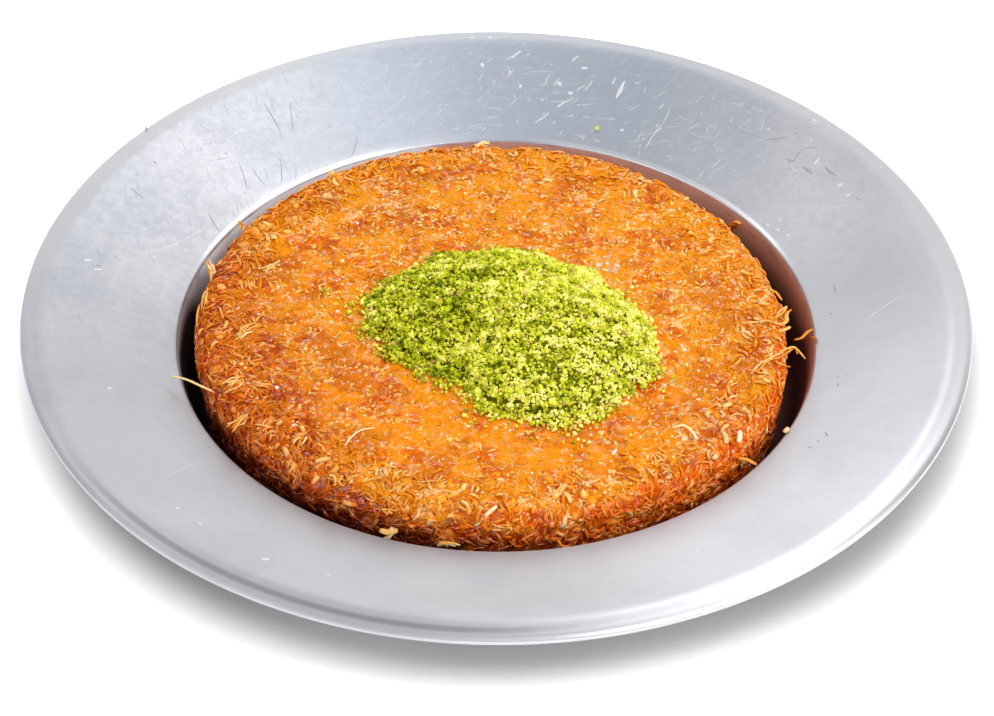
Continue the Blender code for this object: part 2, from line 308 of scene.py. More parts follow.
def plateProfile():
    sheet, bend, crestBend = plate["sheet"], plate["mouth bend"], plate["crest bend"]
    bead = plate["bead radius"]
    lean, rise = -plate["wall lean"], 90 + plate["rim rise"]
    corner = (plate["floor radius"], sheet + plate["floor corner"])
    mouth = (plate["mouth radius"] + bend * 0.6, plate["mouth height"] - bend * 0.8)
    beadSpot = (plate["radius"] - bead, plate["bead height"])
    crest = (plate["crest radius"], plate["crest height"] - crestBend)
    line = [(0, sheet), (plate["floor radius"] / 2, sheet)]
    line += arc(corner, plate["floor corner"], -90, lean, 6)
    line += arc(mouth, bend, 180 + lean, rise, 7)
    rimStart, rimEnd = line[-1], arc(crest, crestBend, rise, plate["crest end"], 7)
    line += [tuple(a + (b - a) * i / 40 for a, b in zip(rimStart, rimEnd[0])) for i in range(1, 40)]
    line += rimEnd + arc(beadSpot, bead, plate["bead start"], 20, 7)
    line = softened(line)
    line += arc(beadSpot, bead, 8, -90, 7)
    line += arc(crest, crestBend - sheet, 15, rise, 3)
    line += arc(mouth, bend - sheet, rise, 180 + lean, 2)
    line += arc(corner, plate["floor corner"] + sheet, lean, -90, 6)
    return line + [(plate["floor radius"] / 2, 0), (0, 0)]


def softened(line):
    # rounds the crest a little more: each point there moves towards the middle of its neighbours
    for again in range(plate["crest rounding"]):
        moved = [((a[0] + c[0]) / 4 + b[0] / 2, (a[1] + c[1]) / 4 + b[1] / 2)
                 for a, b, c in zip(line, line[1:], line[2:]) if b[0] > plate["crest start"]]
        line = line[:-1 - len(moved)] + moved + line[-1:]
    return line


def rimColour(metal, broadRings, cloud, mottle, worn):
    spot = metal.place()
    x, y, z = metal.axes(spot)
    tarnishAndShade = metal.ease(cloud, 0.36, 0.74) * 0.42 + metal.ease(mottle, 0.36, 0.62) * (0.08 + worn * 0.30)
    # painted shade: the rim is also darker towards the left and in front
    tarnishAndShade = tarnishAndShade + metal.ease(x, -70 * mm, -92 * mm) * 0.22 + metal.ease(y, -72 * mm, -92 * mm) * 0.12
    colour = metal.mix(tarnishAndShade, plate["metal"], plate["tarnishAndShade"])
    colour = metal.mix(metal.ease(broadRings, 0.35, 0.7) * 0.22, colour, plate["ring"])
    # scratches that run one way on the upper left
    score = metal.noise(metal.vector(x * 780 + y * 300, y * 95 - x * 35, z), 1.0, 2, 0.7, 0.35)
    scored = metal.ease(score, 0.60, 0.72) * metal.ease(y * 0.7 - x * 0.7, 45 * mm, 72 * mm)
    colour = metal.mix(scored * 0.42, colour, plate["score"])
    # painted reflection: the far side is coloured darker and more blue, for the sky it reflects
    paintedBlueReflection = metal.ease(y, 35 * mm, 85 * mm) * metal.ease(x, -70 * mm, -20 * mm)
    paintedBlueReflection = paintedBlueReflection * metal.ease(x, 80 * mm, 30 * mm)
    colour = metal.mix(paintedBlueReflection * 0.75, colour, plate["far side"])
    # and is rubbed in streaks near its lip
    slanted = metal.noise(metal.vector((x - y) * 520, (x + y) * 90, z), 1.0, 2, 0.6, 0.4)
    level = metal.noise(metal.vector(x * 75, y * 640, z), 1.0, 2, 0.6, 0.4)
    rubbed = metal.ease(slanted, 0.48, 0.76) * 0.22 + metal.ease(level, 0.50, 0.76) * 0.20
    rubbed = rubbed * metal.ease(y, 62 * mm, 76 * mm) * metal.ease(cloud, 0.35, 0.55, (0.4, 1.0))
    colour = metal.mix(rubbed, colour, plate["rubbed"])
    smudge = metal.ease(metal.noise(spot, 210, 3, 0.65, 0.5), 0.52, 0.68)
    return metal.mix(smudge * (0.10 + worn * 0.16), colour, plate["smudge"])


def paintedGrooveShade(metal, radius, mottle):
    # painted shade in the groove between the lip and its bead, in front and on the left
    x, y, z = metal.axes(metal.place())
    groove = metal.ease(radius, 106.6 * mm, 107.4 * mm) * metal.ease(radius, 108.8 * mm, 108.0 * mm)
    groove = groove * metal.ease(x + (mottle - 0.5) * 30 * mm, 30 * mm, -10 * mm)
    return groove * metal.ease(y, -40 * mm, -80 * mm)


def wallFilmReflectionAndShade(metal, radius):
    # browned butter on the wall of the well, with a painted reflection of the pastry and painted shade
    # lower down: its colour, and where it lies
    x, y, z = metal.axes(metal.place())
    smear = metal.noise(metal.vector(x / radius * 9, y / radius * 9, z * 160), 1.0, 3, 0.6)
    streak = metal.noise(metal.vector(x / radius * 14, y / radius * 14, z * 1300), 1.0, 2, 0.6)
    # painted reflection: at the upper left the wall is bare and coloured pale
    bare = metal.ease((y - x) / radius, 1.14, 1.26)
    # on its inside only: how far the sheet lies out from the middle of the well's corner tells the two faces
    # apart
    cornerHeight = plate["sheet"] + plate["floor corner"]
    over = metal.maths("MAXIMUM", z - cornerHeight, 0.0)
    under = metal.maths("MINIMUM", z - cornerHeight, 0.0)
    out = metal.maths("MAXIMUM", radius - over * plate["wall slope"] - plate["floor radius"], 0.0)
    inside = metal.ease(metal.root(out * out + under * under), 4.6 * mm, 4.0 * mm)
    wall = metal.ease(z + (smear - 0.5) * 0.8 * mm, 17.9 * mm, 17.3 * mm) * inside
    # painted shade: black under the mouth at the left and in front, redder at the right,
    # none at the upper left
    leftwards = 0 - (x * 0.5 + y) / radius
    right = metal.ease(x / radius, 0.60, 0.95)
    fade = 7.0 * mm - leftwards * 7 * mm - right * 3.2 * mm + bare * 6 * mm + (smear - 0.5) * 2 * mm
    depth = (plate["mouth height"] - 0.1 * mm - z) / metal.maths("MAXIMUM", fade, 0.7 * mm)
    # redder at the right, partly a painted reflection of the pastry's red side
    redShare = right * metal.ease(z, 17.6 * mm, 16.2 * mm) * 0.8
    filmReflectionAndShade = metal.mix(redShare, plate["butter and painted reflection"], plate["red butter and painted reflection"])
    filmReflectionAndShade = metal.mix(metal.ease(streak, 0.45, 0.7) * 0.35, filmReflectionAndShade, plate["streak"])
    filmReflectionAndShade = metal.mix(bare, filmReflectionAndShade, plate["bare wall painted reflection"])
    # painted shade: greyer towards the left
    filmReflectionAndShade = metal.mix(metal.ease(leftwards, 0.0, 0.35) * 0.8, filmReflectionAndShade, plate["grey wall shade"])
    deepestShade = metal.mix(right * 0.8, plate["deep painted shade"], plate["deep red painted shade"])
    return metal.mix(metal.ease(depth, 0.05, 1.0), filmReflectionAndShade, deepestShade), wall


def plateMetal():
    metal = Finish("spunAluminium", Specular_IOR_Level=0.1, Anisotropic=plate["brushing"],
                   Anisotropic_Rotation=plate["brushing turn"])
    spot = metal.place()
    x, y, z = metal.axes(spot)
    radius = metal.root(x * x + y * y) + 1e-6
    # lathe lines: noise that changes fast along the radius and slowly round the plate
    ringSpot = metal.vector(radius * 900, x / radius * 1.1, y / radius * 1.1)
    fineRings = metal.noise(ringSpot, 1.6, 3, 0.6)
    broadRings = metal.noise(metal.vector(radius * 150, x / radius * 0.8, y / radius * 0.8), 1.0, 2, 0.5)
    cloud = metal.noise(spot, 38, 3, 0.55)
    mottle = metal.noise(spot, 430, 4, 0.7)
    # the far side, towards the left, is rubbed the most
    worn = metal.ease(y - x * 0.3, -30 * mm, 60 * mm)
    colour = rimColour(metal, broadRings, cloud, mottle, worn)
    # the lip: matt and speckled behind, polished in front and painted brighter there as a highlight
    farSide = metal.ease(y, -25 * mm, 30 * mm)
    lip = metal.ease(radius, 103.5 * mm, 106.5 * mm)
    speckle = 0.45 + metal.ease(mottle, 0.40, 0.60) * 0.5
    colour = metal.mix(lip * farSide * speckle, colour, plate["worn lip"])
    bright = lip * (1 - farSide) * metal.ease(x, -40 * mm, 30 * mm)
    colour = metal.mix(bright * 0.35, colour, plate["lip polish and highlight"])
    colour = metal.mix(paintedGrooveShade(metal, radius, mottle) * 0.45, colour, plate["painted groove shade"])
    # the mouth's ridge is polished at the upper left and at the upper right, and painted brighter
    # there as a highlight
    mouth = metal.ease(z, 17.3 * mm, 17.7 * mm)
    ridgePolishAndHighlight = metal.ease(radius, 75.8 * mm, 75.0 * mm) * mouth * metal.ease(y / radius, 0.30, 0.50)
    ridgePolishAndHighlight = ridgePolishAndHighlight * metal.ease(metal.maths("ABSOLUTE", x / radius + 0.10), 0.14, 0.40)
    colour = metal.mix(ridgePolishAndHighlight * 0.55, colour, plate["mouth polish and highlight"])
    # painted highlight: the rim just outside the mouth at the upper left is coloured a little brighter
    near = metal.ease(radius, 77.6 * mm, 75.2 * mm) * mouth
    near = near * metal.ease(x / radius, 0.10, -0.30) * metal.ease(y / radius, 0.30, 0.55)
    colour = metal.mix(near * 0.14, colour, plate["mouth polish and highlight"])
    filmReflectionAndShade, wall = wallFilmReflectionAndShade(metal, radius)
    metal.put("Base Color", metal.mix(wall * 0.97, colour, filmReflectionAndShade))
    metal.put("Metallic", 1 - wall * 0.85 - lip * farSide * 0.35)

    lowest, highest = plate["roughness"]
    rough = lowest + (highest - lowest) * cloud + (fineRings - 0.5) * 0.10 + (mottle - 0.5) * 0.10 * worn
    metal.put("Roughness", rough + lip * 0.08 * farSide - bright * plate["smoother lip"] - ridgePolishAndHighlight * 0.12)
    height = (fineRings - 0.5) * 0.5 + (broadRings - 0.5) * 1.2 + (mottle - 0.5) * (0.5 + worn * 1.5)
    metal.put("Normal", metal.bump(height, 0.02 * mm))
    return metal


def wobbled(co):
    # the rim is a little uneven, the well's floor and the foot are true
    share = min(max((math.hypot(co.x, co.y) - 76 * mm) / (20 * mm), 0), 1)
    spot = Vector((co.x, co.y, 0)) / plate["wobble size"]
    return co + Vector((0, 0, noise.noise(spot + Vector((3.1, 7.7, 0.4))) * plate["wobble"] * share))


def makePlate():
    bm = bmesh.new()
    ring = [bm.verts.new((r, 0, z)) for r, z in plateProfile()]
    edges = [bm.edges.new(pair) for pair in zip(ring, ring[1:])]
    bmesh.ops.spin(bm, geom=ring + edges, axis=(0, 0, 1), cent=(0, 0, 0),
                   angle=math.tau, steps=plate["segments"], use_merge=True)
    for vert in bm.verts:
        vert.co = wobbled(vert.co)
    made = pieceFrom(bm, "plateMetal", plateMetal())
    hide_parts("plate")


# Marks on the rim, bright nicks and dark scuffs: x and y of the two ends of each, and its width, in mm.
rimMarks = {
    "bright": [
        (77.0, 57.8, 78.0, 59.6, 0.9), (82.1, 49.4, 83.1, 50.1, 0.8), (83.8, 45.6, 84.8, 46.1, 0.8),
        (65.9, 71.7, 66.6, 71.2, 0.5), (77.1, 73.2, 77.8, 72.4, 0.5), (80.7, 71.2, 81.1, 70.5, 0.4),
        (92.4, 55.0, 93.0, 54.2, 0.5), (-7.2, 105.8, -6.2, 105.8, 0.7), (-2.7, 105.9, -1.5, 105.9, 0.7),
        (29.2, 86.0, 31.3, 91.0, 0.75), (29.7, 87.2, 30.6, 89.4, 1.1), (64.6, 41.5, 65.3, 40.4, 0.5),
        (66.9, 39.3, 67.6, 38.5, 0.6), (69.4, 36.8, 70.1, 35.9, 0.5), (67.6, 42.2, 68.1, 41.6, 0.4),
        (-73.8, -57.3, -63.7, -44.9, 0.14), (-50.6, -84.9, -48.8, -84.7, 1.0),
        (-70.1, -68.5, -69.3, -68.2, 0.6), (-65.0, -73.3, -64.1, -73.5, 0.6),
        (-36.2, -88.9, -35.4, -88.8, 0.8), (-97.1, 17.7, -95.3, 18.3, 0.6), (-94.6, 15.2, -92.9, 15.9, 0.4),
        (-4.4, 97.5, -3.9, 96.3, 0.9), (3.3, 99.1, 5.6, 101.3, 0.5), (2.6, 94.8, 3.1, 94.8, 0.9),
        (5.1, 90.5, 5.8, 90.5, 1.1), (14.6, 91.2, 15.7, 91.2, 1.1), (17.3, 88.4, 18.5, 88.0, 0.9),
        (18.3, 97.9, 20.1, 99.4, 0.5), (20.6, 95.7, 22.2, 95.6, 0.7), (14.6, 84.1, 16.8, 85.9, 0.5),
        (30.1, 76.2, 30.9, 76.1, 0.7), (42.4, 81.5, 40.4, 77.0, 0.14), (40.4, 77.0, 36.1, 69.7, 0.2),
        (-81.1, 25.7, -70.0, 37.3, 0.16), (-88.4, -26.5, -87.6, -26.0, 0.6), (9.0, 79.6, 12.6, 82.6, 0.3),
        (87.0, 3.0, 94.6, 8.4, 0.14)],
    "dark": [
        (58.9, 72.5, 62.7, 70.0, 0.25), (62.7, 70.0, 65.6, 68.3, 0.35), (66.6, 68.1, 70.6, 68.0, 0.6),
        (71.6, 68.2, 74.6, 69.4, 0.35), (75.6, 69.8, 79.2, 71.2, 0.22), (64.6, 68.4, 68.0, 67.7, 0.35),
        (69.6, 61.3, 72.0, 59.8, 0.6), (72.0, 59.8, 73.8, 63.4, 0.4), (73.8, 63.4, 77.9, 63.2, 0.4),
        (73.8, 57.8, 76.2, 55.7, 0.6), (74.7, 56.3, 76.3, 54.6, 0.6), (79.3, 56.6, 80.8, 53.6, 0.6),
        (79.5, 55.3, 81.8, 52.8, 0.5), (78.4, 7.4, 78.4, 6.7, 0.5), (78.6, -18.7, 78.5, -19.5, 0.6),
        (74.8, -37.8, 75.0, -38.2, 0.6), (72.7, -39.1, 73.1, -39.7, 0.5), (70.8, -41.0, 71.0, -41.8, 0.6),
        (-86.1, 68.1, -85.5, 66.9, 0.6), (-65.0, -41.7, -64.4, -41.1, 0.4), (79.6, 16.7, 79.9, 13.8, 0.35),
        (78.5, -16.0, 78.9, -16.5, 0.5), (80.6, -15.8, 81.0, -16.0, 0.5), (74.6, -36.4, 75.0, -38.1, 0.5),
        (-94.3, 16.8, -93.1, 16.8, 0.6), (23.7, 77.9, 24.3, 77.4, 0.5), (-57.7, 79.8, -53.5, 72.2, 0.28),
        (-51.4, 81.2, -50.3, 72.5, 0.22), (-52.9, 63.2, -52.4, 56.3, 0.24),
        (-62.9, 59.9, -60.6, 52.0, 0.28), (-59.5, 58.7, -56.4, 54.2, 0.22),
        (-35.9, 66.8, -34.6, 73.1, 0.26), (-69.5, 42.1, -66.4, 36.6, 0.26), (-88.0, 45.2, -85.0, 42.7, 0.4),
        (-83.2, 55.6, -82.6, 54.7, 0.5), (-65.2, 61.0, -68.2, 59.7, 0.25), (86.0, 44.6, 87.2, 43.4, 0.35),
        (-90.4, 21.4, -89.6, 20.6, 0.4)],
}

# Fine random marks: how many, the directions from the plate's middle between which they lie, in degrees, the
# way that most of them run, how far they stray from it, and how long and how wide they are.
rimScores = {
    "bright": [
        {"count": 46, "sector": (48, 112), "run": 48, "stray": 16, "long": (0.8, 3.6), "wide": (0.2, 0.6)},
        {"count": 30, "sector": (60, 110), "run": 0, "stray": 8, "long": (1.5, 5.0), "wide": (0.15, 0.35)},
        {"count": 30, "sector": (60, 115), "run": 0, "stray": 90, "long": (0.5, 1.0), "wide": (0.3, 0.7)},
        {"count": 30, "sector": (100, 175), "run": 40, "stray": 50, "long": (0.6, 2.6), "wide": (0.15, 0.3)},
        {"count": 50, "sector": (10, 60), "run": 30, "stray": 60, "long": (0.5, 2.0), "wide": (0.15, 0.35)},
        {"count": 24, "sector": (32, 42), "run": -30, "stray": 40, "long": (0.5, 2.0), "wide": (0.2, 0.5),
         "away": (90, 99)},
        {"count": 50, "sector": (180, 360), "run": 20, "stray": 70, "long": (0.4, 2.0), "wide": (0.12, 0.25)},
    ],
    "dark": [
        {"count": 60, "sector": (108, 162), "run": -68, "stray": 22, "long": (0.8, 4.0), "wide": (0.14, 0.3)},
        {"count": 60, "sector": (108, 165), "run": 0, "stray": 80, "long": (0.4, 1.1), "wide": (0.3, 0.8)},
        {"count": 70, "sector": (40, 100), "run": 10, "stray": 40, "long": (0.5, 2.4), "wide": (0.15, 0.4)},
        {"count": 70, "sector": (20, 60), "run": -20, "stray": 35, "long": (0.8, 3.6), "wide": (0.2, 0.5)},
        {"count": 40, "sector": (32, 42), "run": -30, "stray": 35, "long": (0.5, 2.4), "wide": (0.25, 0.7),
         "away": (90, 99)},
        {"count": 60, "sector": (165, 400), "run": 0, "stray": 80, "long": (0.3, 1.2), "wide": (0.15, 0.3)},
    ],
}


markForm = {
    "thick": 0.07 * mm,
    "bend": 0.025,  # how far a mark leaves the straight line, as a share of its length
    "narrower": 0.6,  # how much narrower it is at its ends, as a share
    "away": (76.5, 101),  # how far the random ones lie from the plate's middle, in mm
    "rim points": 49,  # how many of the profile's points lie between the mouth and the end of the crest
}

rimMarkLooks = {
    "bright": {"name": "brightNicks", "faint": (0.50, 0.52, 0.56), "strong": (0.68, 0.70, 0.74),
               "rough": 0.40, "seed": 31},
    "dark": {"name": "darkScuffs", "faint": (0.48, 0.49, 0.52), "strong": (0.35, 0.35, 0.37),
             "rough": 0.5, "seed": 32},
}


def scoredMetal(look):
    # tone is 0 on the fine random marks and 1 on the others
    finish = Finish(look["name"], Metallic=0.9)
    grain = finish.noise(finish.place(), 1200, 2, 0.6)
    colour = finish.mix(finish.attribute("tone"), look["faint"], look["strong"])
    finish.put("Base Color", finish.mix(grain * 0.3, colour, plate["metal"]))
    finish.put("Roughness", look["rough"] + 0.2 * grain)
    finish.put("Normal", finish.bump(grain, 0.05 * mm))
    return finish


def layRimMarks(kind):
    # slivers a few hundredths of a millimetre thick that lie along the rim
    finish = scoredMetal(rimMarkLooks[kind])
    draw = np.random.default_rng(rimMarkLooks[kind]["seed"])
    marks = list(rimMarks[kind])
    for look in rimScores[kind]:
        for mark in range(look["count"]):
            turn = math.radians(draw.uniform(*look["sector"]))
            away = draw.uniform(*look.get("away", markForm["away"]))
            run = math.radians(draw.normal(look["run"], look["stray"]))
            half = draw.uniform(*look["long"]) / 2
            dx, dy = half * math.cos(run), half * math.sin(run)
            x, y = away * math.cos(turn), away * math.sin(turn)
            marks.append((x - dx, y - dy, x + dx, y + dy, draw.uniform(*look["wide"])))
    tones = np.arange(len(marks)) < len(rimMarks[kind])
    marks = np.array(marks) * mm
    # the rim's upper face, which comes first in the profile
    upper = [spot for spot in plateProfile() if spot[0] > plate["mouth radius"] and spot[1] > 17 * mm]
    upper = np.array(upper[:markForm["rim points"]])

    template, faces = strandTemplate(4, 6)
    share = template[:, 2] + 0.5
    x = marks[:, :1] + (marks[:, 2:3] - marks[:, :1]) * share
    y = marks[:, 1:2] + (marks[:, 3:4] - marks[:, 1:2]) * share
    bend = draw.normal(0, markForm["bend"], (len(marks), 1)) * (1 - (2 * template[:, 2]) ** 2)
    across = template[:, 0] * marks[:, 4:5] * (1 - markForm["narrower"] * (2 * template[:, 2]) ** 4)
    way = unit(marks[:, 2:4] - marks[:, :2])
    lengths = np.hypot(marks[:, 2] - marks[:, 0], marks[:, 3] - marks[:, 1])[:, None]
    x = x - way[:, 1:2] * (across + bend * lengths)
    y = y + way[:, :1] * (across + bend * lengths)
    away = np.hypot(x, y)
    z = np.interp(away, upper[:, 0], upper[:, 1]) + template[:, 1] * markForm["thick"]
    z = np.array([[wobbled(Vector(spot)).z for spot in zip(*row)] for row in zip(x, y, z)])
    layOut(kind + "RimMarks", np.stack([x, y, z], axis=2), faces, finish, tones, smooth=False)


# Pastry

pastry = {
    "radius": 67.9 * mm,
    "centre": (-1.6 * mm, -1.0 * mm),
    "bottom": 1.8 * mm,
    "top": 24.3 * mm,
    "flat": 44 * mm,
    "fall": 0.5 * mm,
    "bulge": 0.034,  # how much farther out it reaches where it bulges, as a share
    "bulge turn": math.radians(-30),
    "bulge spread": math.radians(24),
    "shoulder": 4.5 * mm,
    "foot": 4.0 * mm,
    "foot inset": 1.2 * mm,
    "relief": 0.55 * mm,
    "grain": 4.5 * mm,
    "fine relief": 0.38 * mm,
    "fine grain": 1.5 * mm,
    "cells": 280,
}

heap = {
    "centre": (5.5 * mm, -5.0 * mm),
    # how far it reaches from its centre, in mm, every 20 degrees from +X, anticlockwise
    "reaches": (29, 25.5, 24.5, 24.5, 25.5, 27, 29.5, 31.5, 35.5,
                34, 30.5, 25.5, 24.5, 31, 34, 35.5, 33.5, 33),
    "lobes": 0.7 * mm,
    "base": pastry["top"] + 0.3 * mm,
    "height": 8.6 * mm,
    "edge": 1.0 * mm,
    "lumps": 1.3 * mm,
    "lump size": 12 * mm,
    "relief": 1.5 * mm,
    "grain": 2.3 * mm,
    "clumps": 1.0 * mm,
    "clump size": 4.6 * mm,
    # the middles of the deeper hollows and how far they reach, in mm
    "hollows": ((-10.5, -15.0, 4.0), (-21.0, 4.5, 3.5), (-4.0, -2.0, 3.0), (12.0, -26.0, 3.5),
                (-16.5, -9.0, 2.5)),
    "hollow depth": 1.7 * mm,
    "cells": 110,
    "inset": 2.8 * mm,  # how far the core keeps inside the outline, for the grains at the edge
}


def pastryLine():
    top = pastry["top"] - pastry["fall"]
    shoulder = (pastry["radius"] - pastry["shoulder"], top - pastry["shoulder"])
    foot = (pastry["radius"] - pastry["foot inset"] - pastry["foot"], pastry["bottom"] + pastry["foot"])
    line = [(0, pastry["top"]), (pastry["flat"], pastry["top"])]
    line += arc(shoulder, pastry["shoulder"], 90, 0, 12)
    line += arc(foot, pastry["foot"], 0, -90, 6)
    return np.array(line)


line = pastryLine()
steps = np.diff(line, axis=0)
lengths = np.hypot(*steps.T)
reaches = np.concatenate([[0], np.cumsum(lengths)])
pastryReach = reaches[-1]
lineNormals = np.column_stack([-steps[:, 1], steps[:, 0]]) / lengths[:, None]
middles = (reaches[1:] + reaches[:-1]) / 2


def pastryAt(distance, turn):
    # points on the smooth pastry and the outward normals there, for arrays of places
    r = np.interp(distance, reaches, line[:, 0])
    z = np.interp(distance, reaches, line[:, 1])
    nr = np.interp(distance, middles, lineNormals[:, 0])
    nz = np.interp(distance, middles, lineNormals[:, 1])
    size = np.hypot(nr, nz)
    x, y = np.cos(turn), np.sin(turn)
    beside = np.mod(turn - pastry["bulge turn"] + math.pi, math.tau) - math.pi
    r = r * (1 + pastry["bulge"] * np.exp(-(beside / pastry["bulge spread"]) ** 2))
    points = np.column_stack([r * x + pastry["centre"][0], r * y + pastry["centre"][1], z])
    normals = np.column_stack([nr * x, nr * y, nz]) / size[:, None]
    return points, normals


def heapEdge(turn):
    # the heap's outline: a smooth closed line through its reaches, with small lobes
    stops = np.array(heap["reaches"]) * mm
    place = np.mod(turn, math.tau) / math.tau * len(stops)
    start = np.floor(place).astype(int)
    around = (stops[(start + step) % len(stops)] for step in (-1, 0, 1, 2))
    reach = smoothBetween(*around, place - start)
    return reach + heap["lobes"] * (np.sin(9 * turn) + 0.7 * np.sin(14 * turn + 2))


def beyondHeap(points):
    # how far each point lies outside the heap's outline, and less than 0 for those inside
    away = np.atleast_2d(points)[:, :2] - heap["centre"]
    return np.hypot(*away.T) - heapEdge(np.arctan2(away[:, 1], away[:, 0]))


def bumps(points, grain, share, finer):
    # two layers of noise, the second of that share and that many times finer
    spots = [Vector(point) / grain for point in points]
    return np.array([noise.noise(spot) + share * noise.noise(spot * finer) for spot in spots])


def reliefAt(points, fine=True):
    # how far the pastry's skin stands off its smooth form at each point
    away = beyondHeap(points)
    clear = np.clip(away / pastry["grain"], 0, 1)
    held = np.clip((points[:, 2] - pastry["bottom"]) / pastry["foot"], 0, 1)
    relief = bumps(points, pastry["grain"], 0.5, 2.1) * pastry["relief"]
    if fine:
        relief = relief + bumps(points, pastry["fine grain"], 0.6, 2.3) * pastry["fine relief"]
    return relief * clear * held


strandShades = {
    "golden": [(0.0, (0.62, 0.115, 0.002)), (0.35, (0.82, 0.222, 0.004)),
               (0.7, (0.94, 0.36, 0.020)), (1.0, (1.0, 0.60, 0.20))],
    "brown": [(0.0, (0.27, 0.022, 0.002)), (0.4, (0.50, 0.068, 0.004)),
              (0.75, (0.72, 0.155, 0.012)), (1.0, (0.94, 0.40, 0.11))],
    "amber": (0.85, 0.28, 0.004),
    "paleBitsAndPaintedSheen": (1.0, 0.57, 0.24),
    "side": [(0.0, (0.60, 0.044, 0.002)), (0.4, (0.88, 0.145, 0.007)),
             (0.75, (0.97, 0.29, 0.045)), (1.0, (1.0, 0.60, 0.31))],
    "deep": (0.095, 0.006, 0.002),
    "lit deep": (0.48, 0.060, 0.010),
    "fibre": (1.0, 0.60, 0.17),
    "wetShine": (1.0, 0.80, 0.62),
    "loose": [(0.0, (0.22, 0.030, 0.003)), (0.4, (0.72, 0.20, 0.012)),
              (0.75, (0.92, 0.44, 0.09)), (1.0, (0.97, 0.76, 0.44))],
}


def bakedColourWithPaintedLight(finish, tone):
    # golden on top with amber, paler and redder patches, dark red-brown down the side, partly painted
    # shade; tone picks a strand's own shade
    spot = finish.place()
    x, y, z = finish.axes(spot)
    cx, cy = pastry["centre"]
    across, along = x - cx, y - cy
    radius = finish.root(across * across + along * along)
    patch = finish.noise(spot, 62, 3, 0.55, 0.4)
    small = finish.noise(spot, 230, 2, 0.5)
    # painted light: the side keeps its colour farther down at the right, where the light falls on it
    rightwards = finish.ease(x * 0.8 - y * 0.6, 20 * mm, 62 * mm)
    height = z + (patch - 0.5) * 5 * mm + (small - 0.5) * 3 * mm + rightwards * 5.2 * mm
    # lower down the side it is browner, partly baked and partly painted shade
    low = finish.ease(height, 22.8 * mm, 20.8 * mm)
    deep = finish.ease(height, 20.2 * mm, 16.0 * mm)
    edge = finish.ease(radius + (patch - 0.5) * 16 * mm, 54 * mm, 70 * mm)
    # painted shade: browner towards the left, the side away from the light
    left = finish.ease(0 - x * 0.93 - y * 0.36 + (patch - 0.5) * 22 * mm, 36 * mm, 65 * mm)
    behind = finish.ease(y * 0.7 - x * 0.7, -10 * mm, 50 * mm)
    own = (tone - 0.5) * 0.16
    red = finish.ease(finish.noise(finish.shifted(spot, 0.31), 115, 2, 0.6, 0.3) - own, 0.50, 0.66)
    bakeAndShade = edge * 0.12 + left * 0.72 + behind * 0.07 + low * 0.66 + red * 0.48 + (small - 0.5) * 0.50 - 0.07
    bakeAndShade = finish.maths("MINIMUM", finish.maths("MAXIMUM", bakeAndShade, 0.0), 1.0)
    fleck = finish.noise(spot, 760, 3, 0.6)
    mixed = tone + (fleck - 0.5) * 0.4 + (small - 0.5) * 1.3
    golden = finish.ramp(mixed, strandShades["golden"])
    # paler, pinker patches: partly pale strands, partly a painted sheen, more of it at the right
    paleBitsAndPaintedSheen = finish.ease(finish.noise(finish.shifted(spot, 0.17), 320, 2, 0.6, 0.3) + own, 0.50, 0.61)
    paleBitsAndPaintedSheen = paleBitsAndPaintedSheen * finish.ease(finish.noise(finish.shifted(spot, 0.53), 85, 2, 0.5), 0.34, 0.58, (0.35, 1.0))
    paleBitsAndPaintedSheen = paleBitsAndPaintedSheen * (0.55 + finish.ease(fleck, 0.42, 0.60) * 0.35 + rightwards * 0.2) * (1 - left * 0.5)
    golden = finish.mix(paleBitsAndPaintedSheen, golden, strandShades["paleBitsAndPaintedSheen"])
    amber = finish.ease(finish.noise(spot, 125, 2, 0.5, 0.5) - own, 0.45, 0.58)
    golden = finish.mix(amber * 0.80, golden, strandShades["amber"])
    brown = finish.ramp(mixed, strandShades["brown"])
    colour = finish.mix(bakeAndShade, golden, brown)
    aside = finish.ease(z + (patch - 0.5) * 4 * mm, 23.9 * mm, 21.6 * mm)
    redder = rightwards * finish.maths("MAXIMUM", low, aside)
    colour = finish.mix(redder * 0.8, colour, finish.ramp(mixed, strandShades["side"]))
    # painted shade: nearly black low on the side, a little lit on the paler strands, less at the right
    deepShade = finish.mix(finish.ease(mixed, 0.45, 1.0), strandShades["deep"], strandShades["lit deep"])
    colour = finish.mix(deep * (0.85 - rightwards * 0.45), colour, deepShade)
    return colour, bakeAndShade, low + rightwards * low


# wet spots where the syrup shines and where a painted highlight pales its colour: beside the heap, and
# fainter at the right in front
wetSpots = [
    {"at": (25.4 * mm, 18.6 * mm), "reach": (4.6 * mm, 1.4 * mm), "strength": 0.75},
    {"at": (43.0 * mm, -36.0 * mm), "reach": (11.0 * mm, 2.0 * mm), "strength": 0.22},
]


def wetness(finish, spot):
    x, y, z = finish.axes(spot)
    total = 0.0
    for look in wetSpots:
        across, along = x - look["at"][0], y - look["at"][1]
        away = finish.root(across * across + along * along * 0.5)
        total = finish.ease(away, *look["reach"]) * look["strength"] + total
    return total


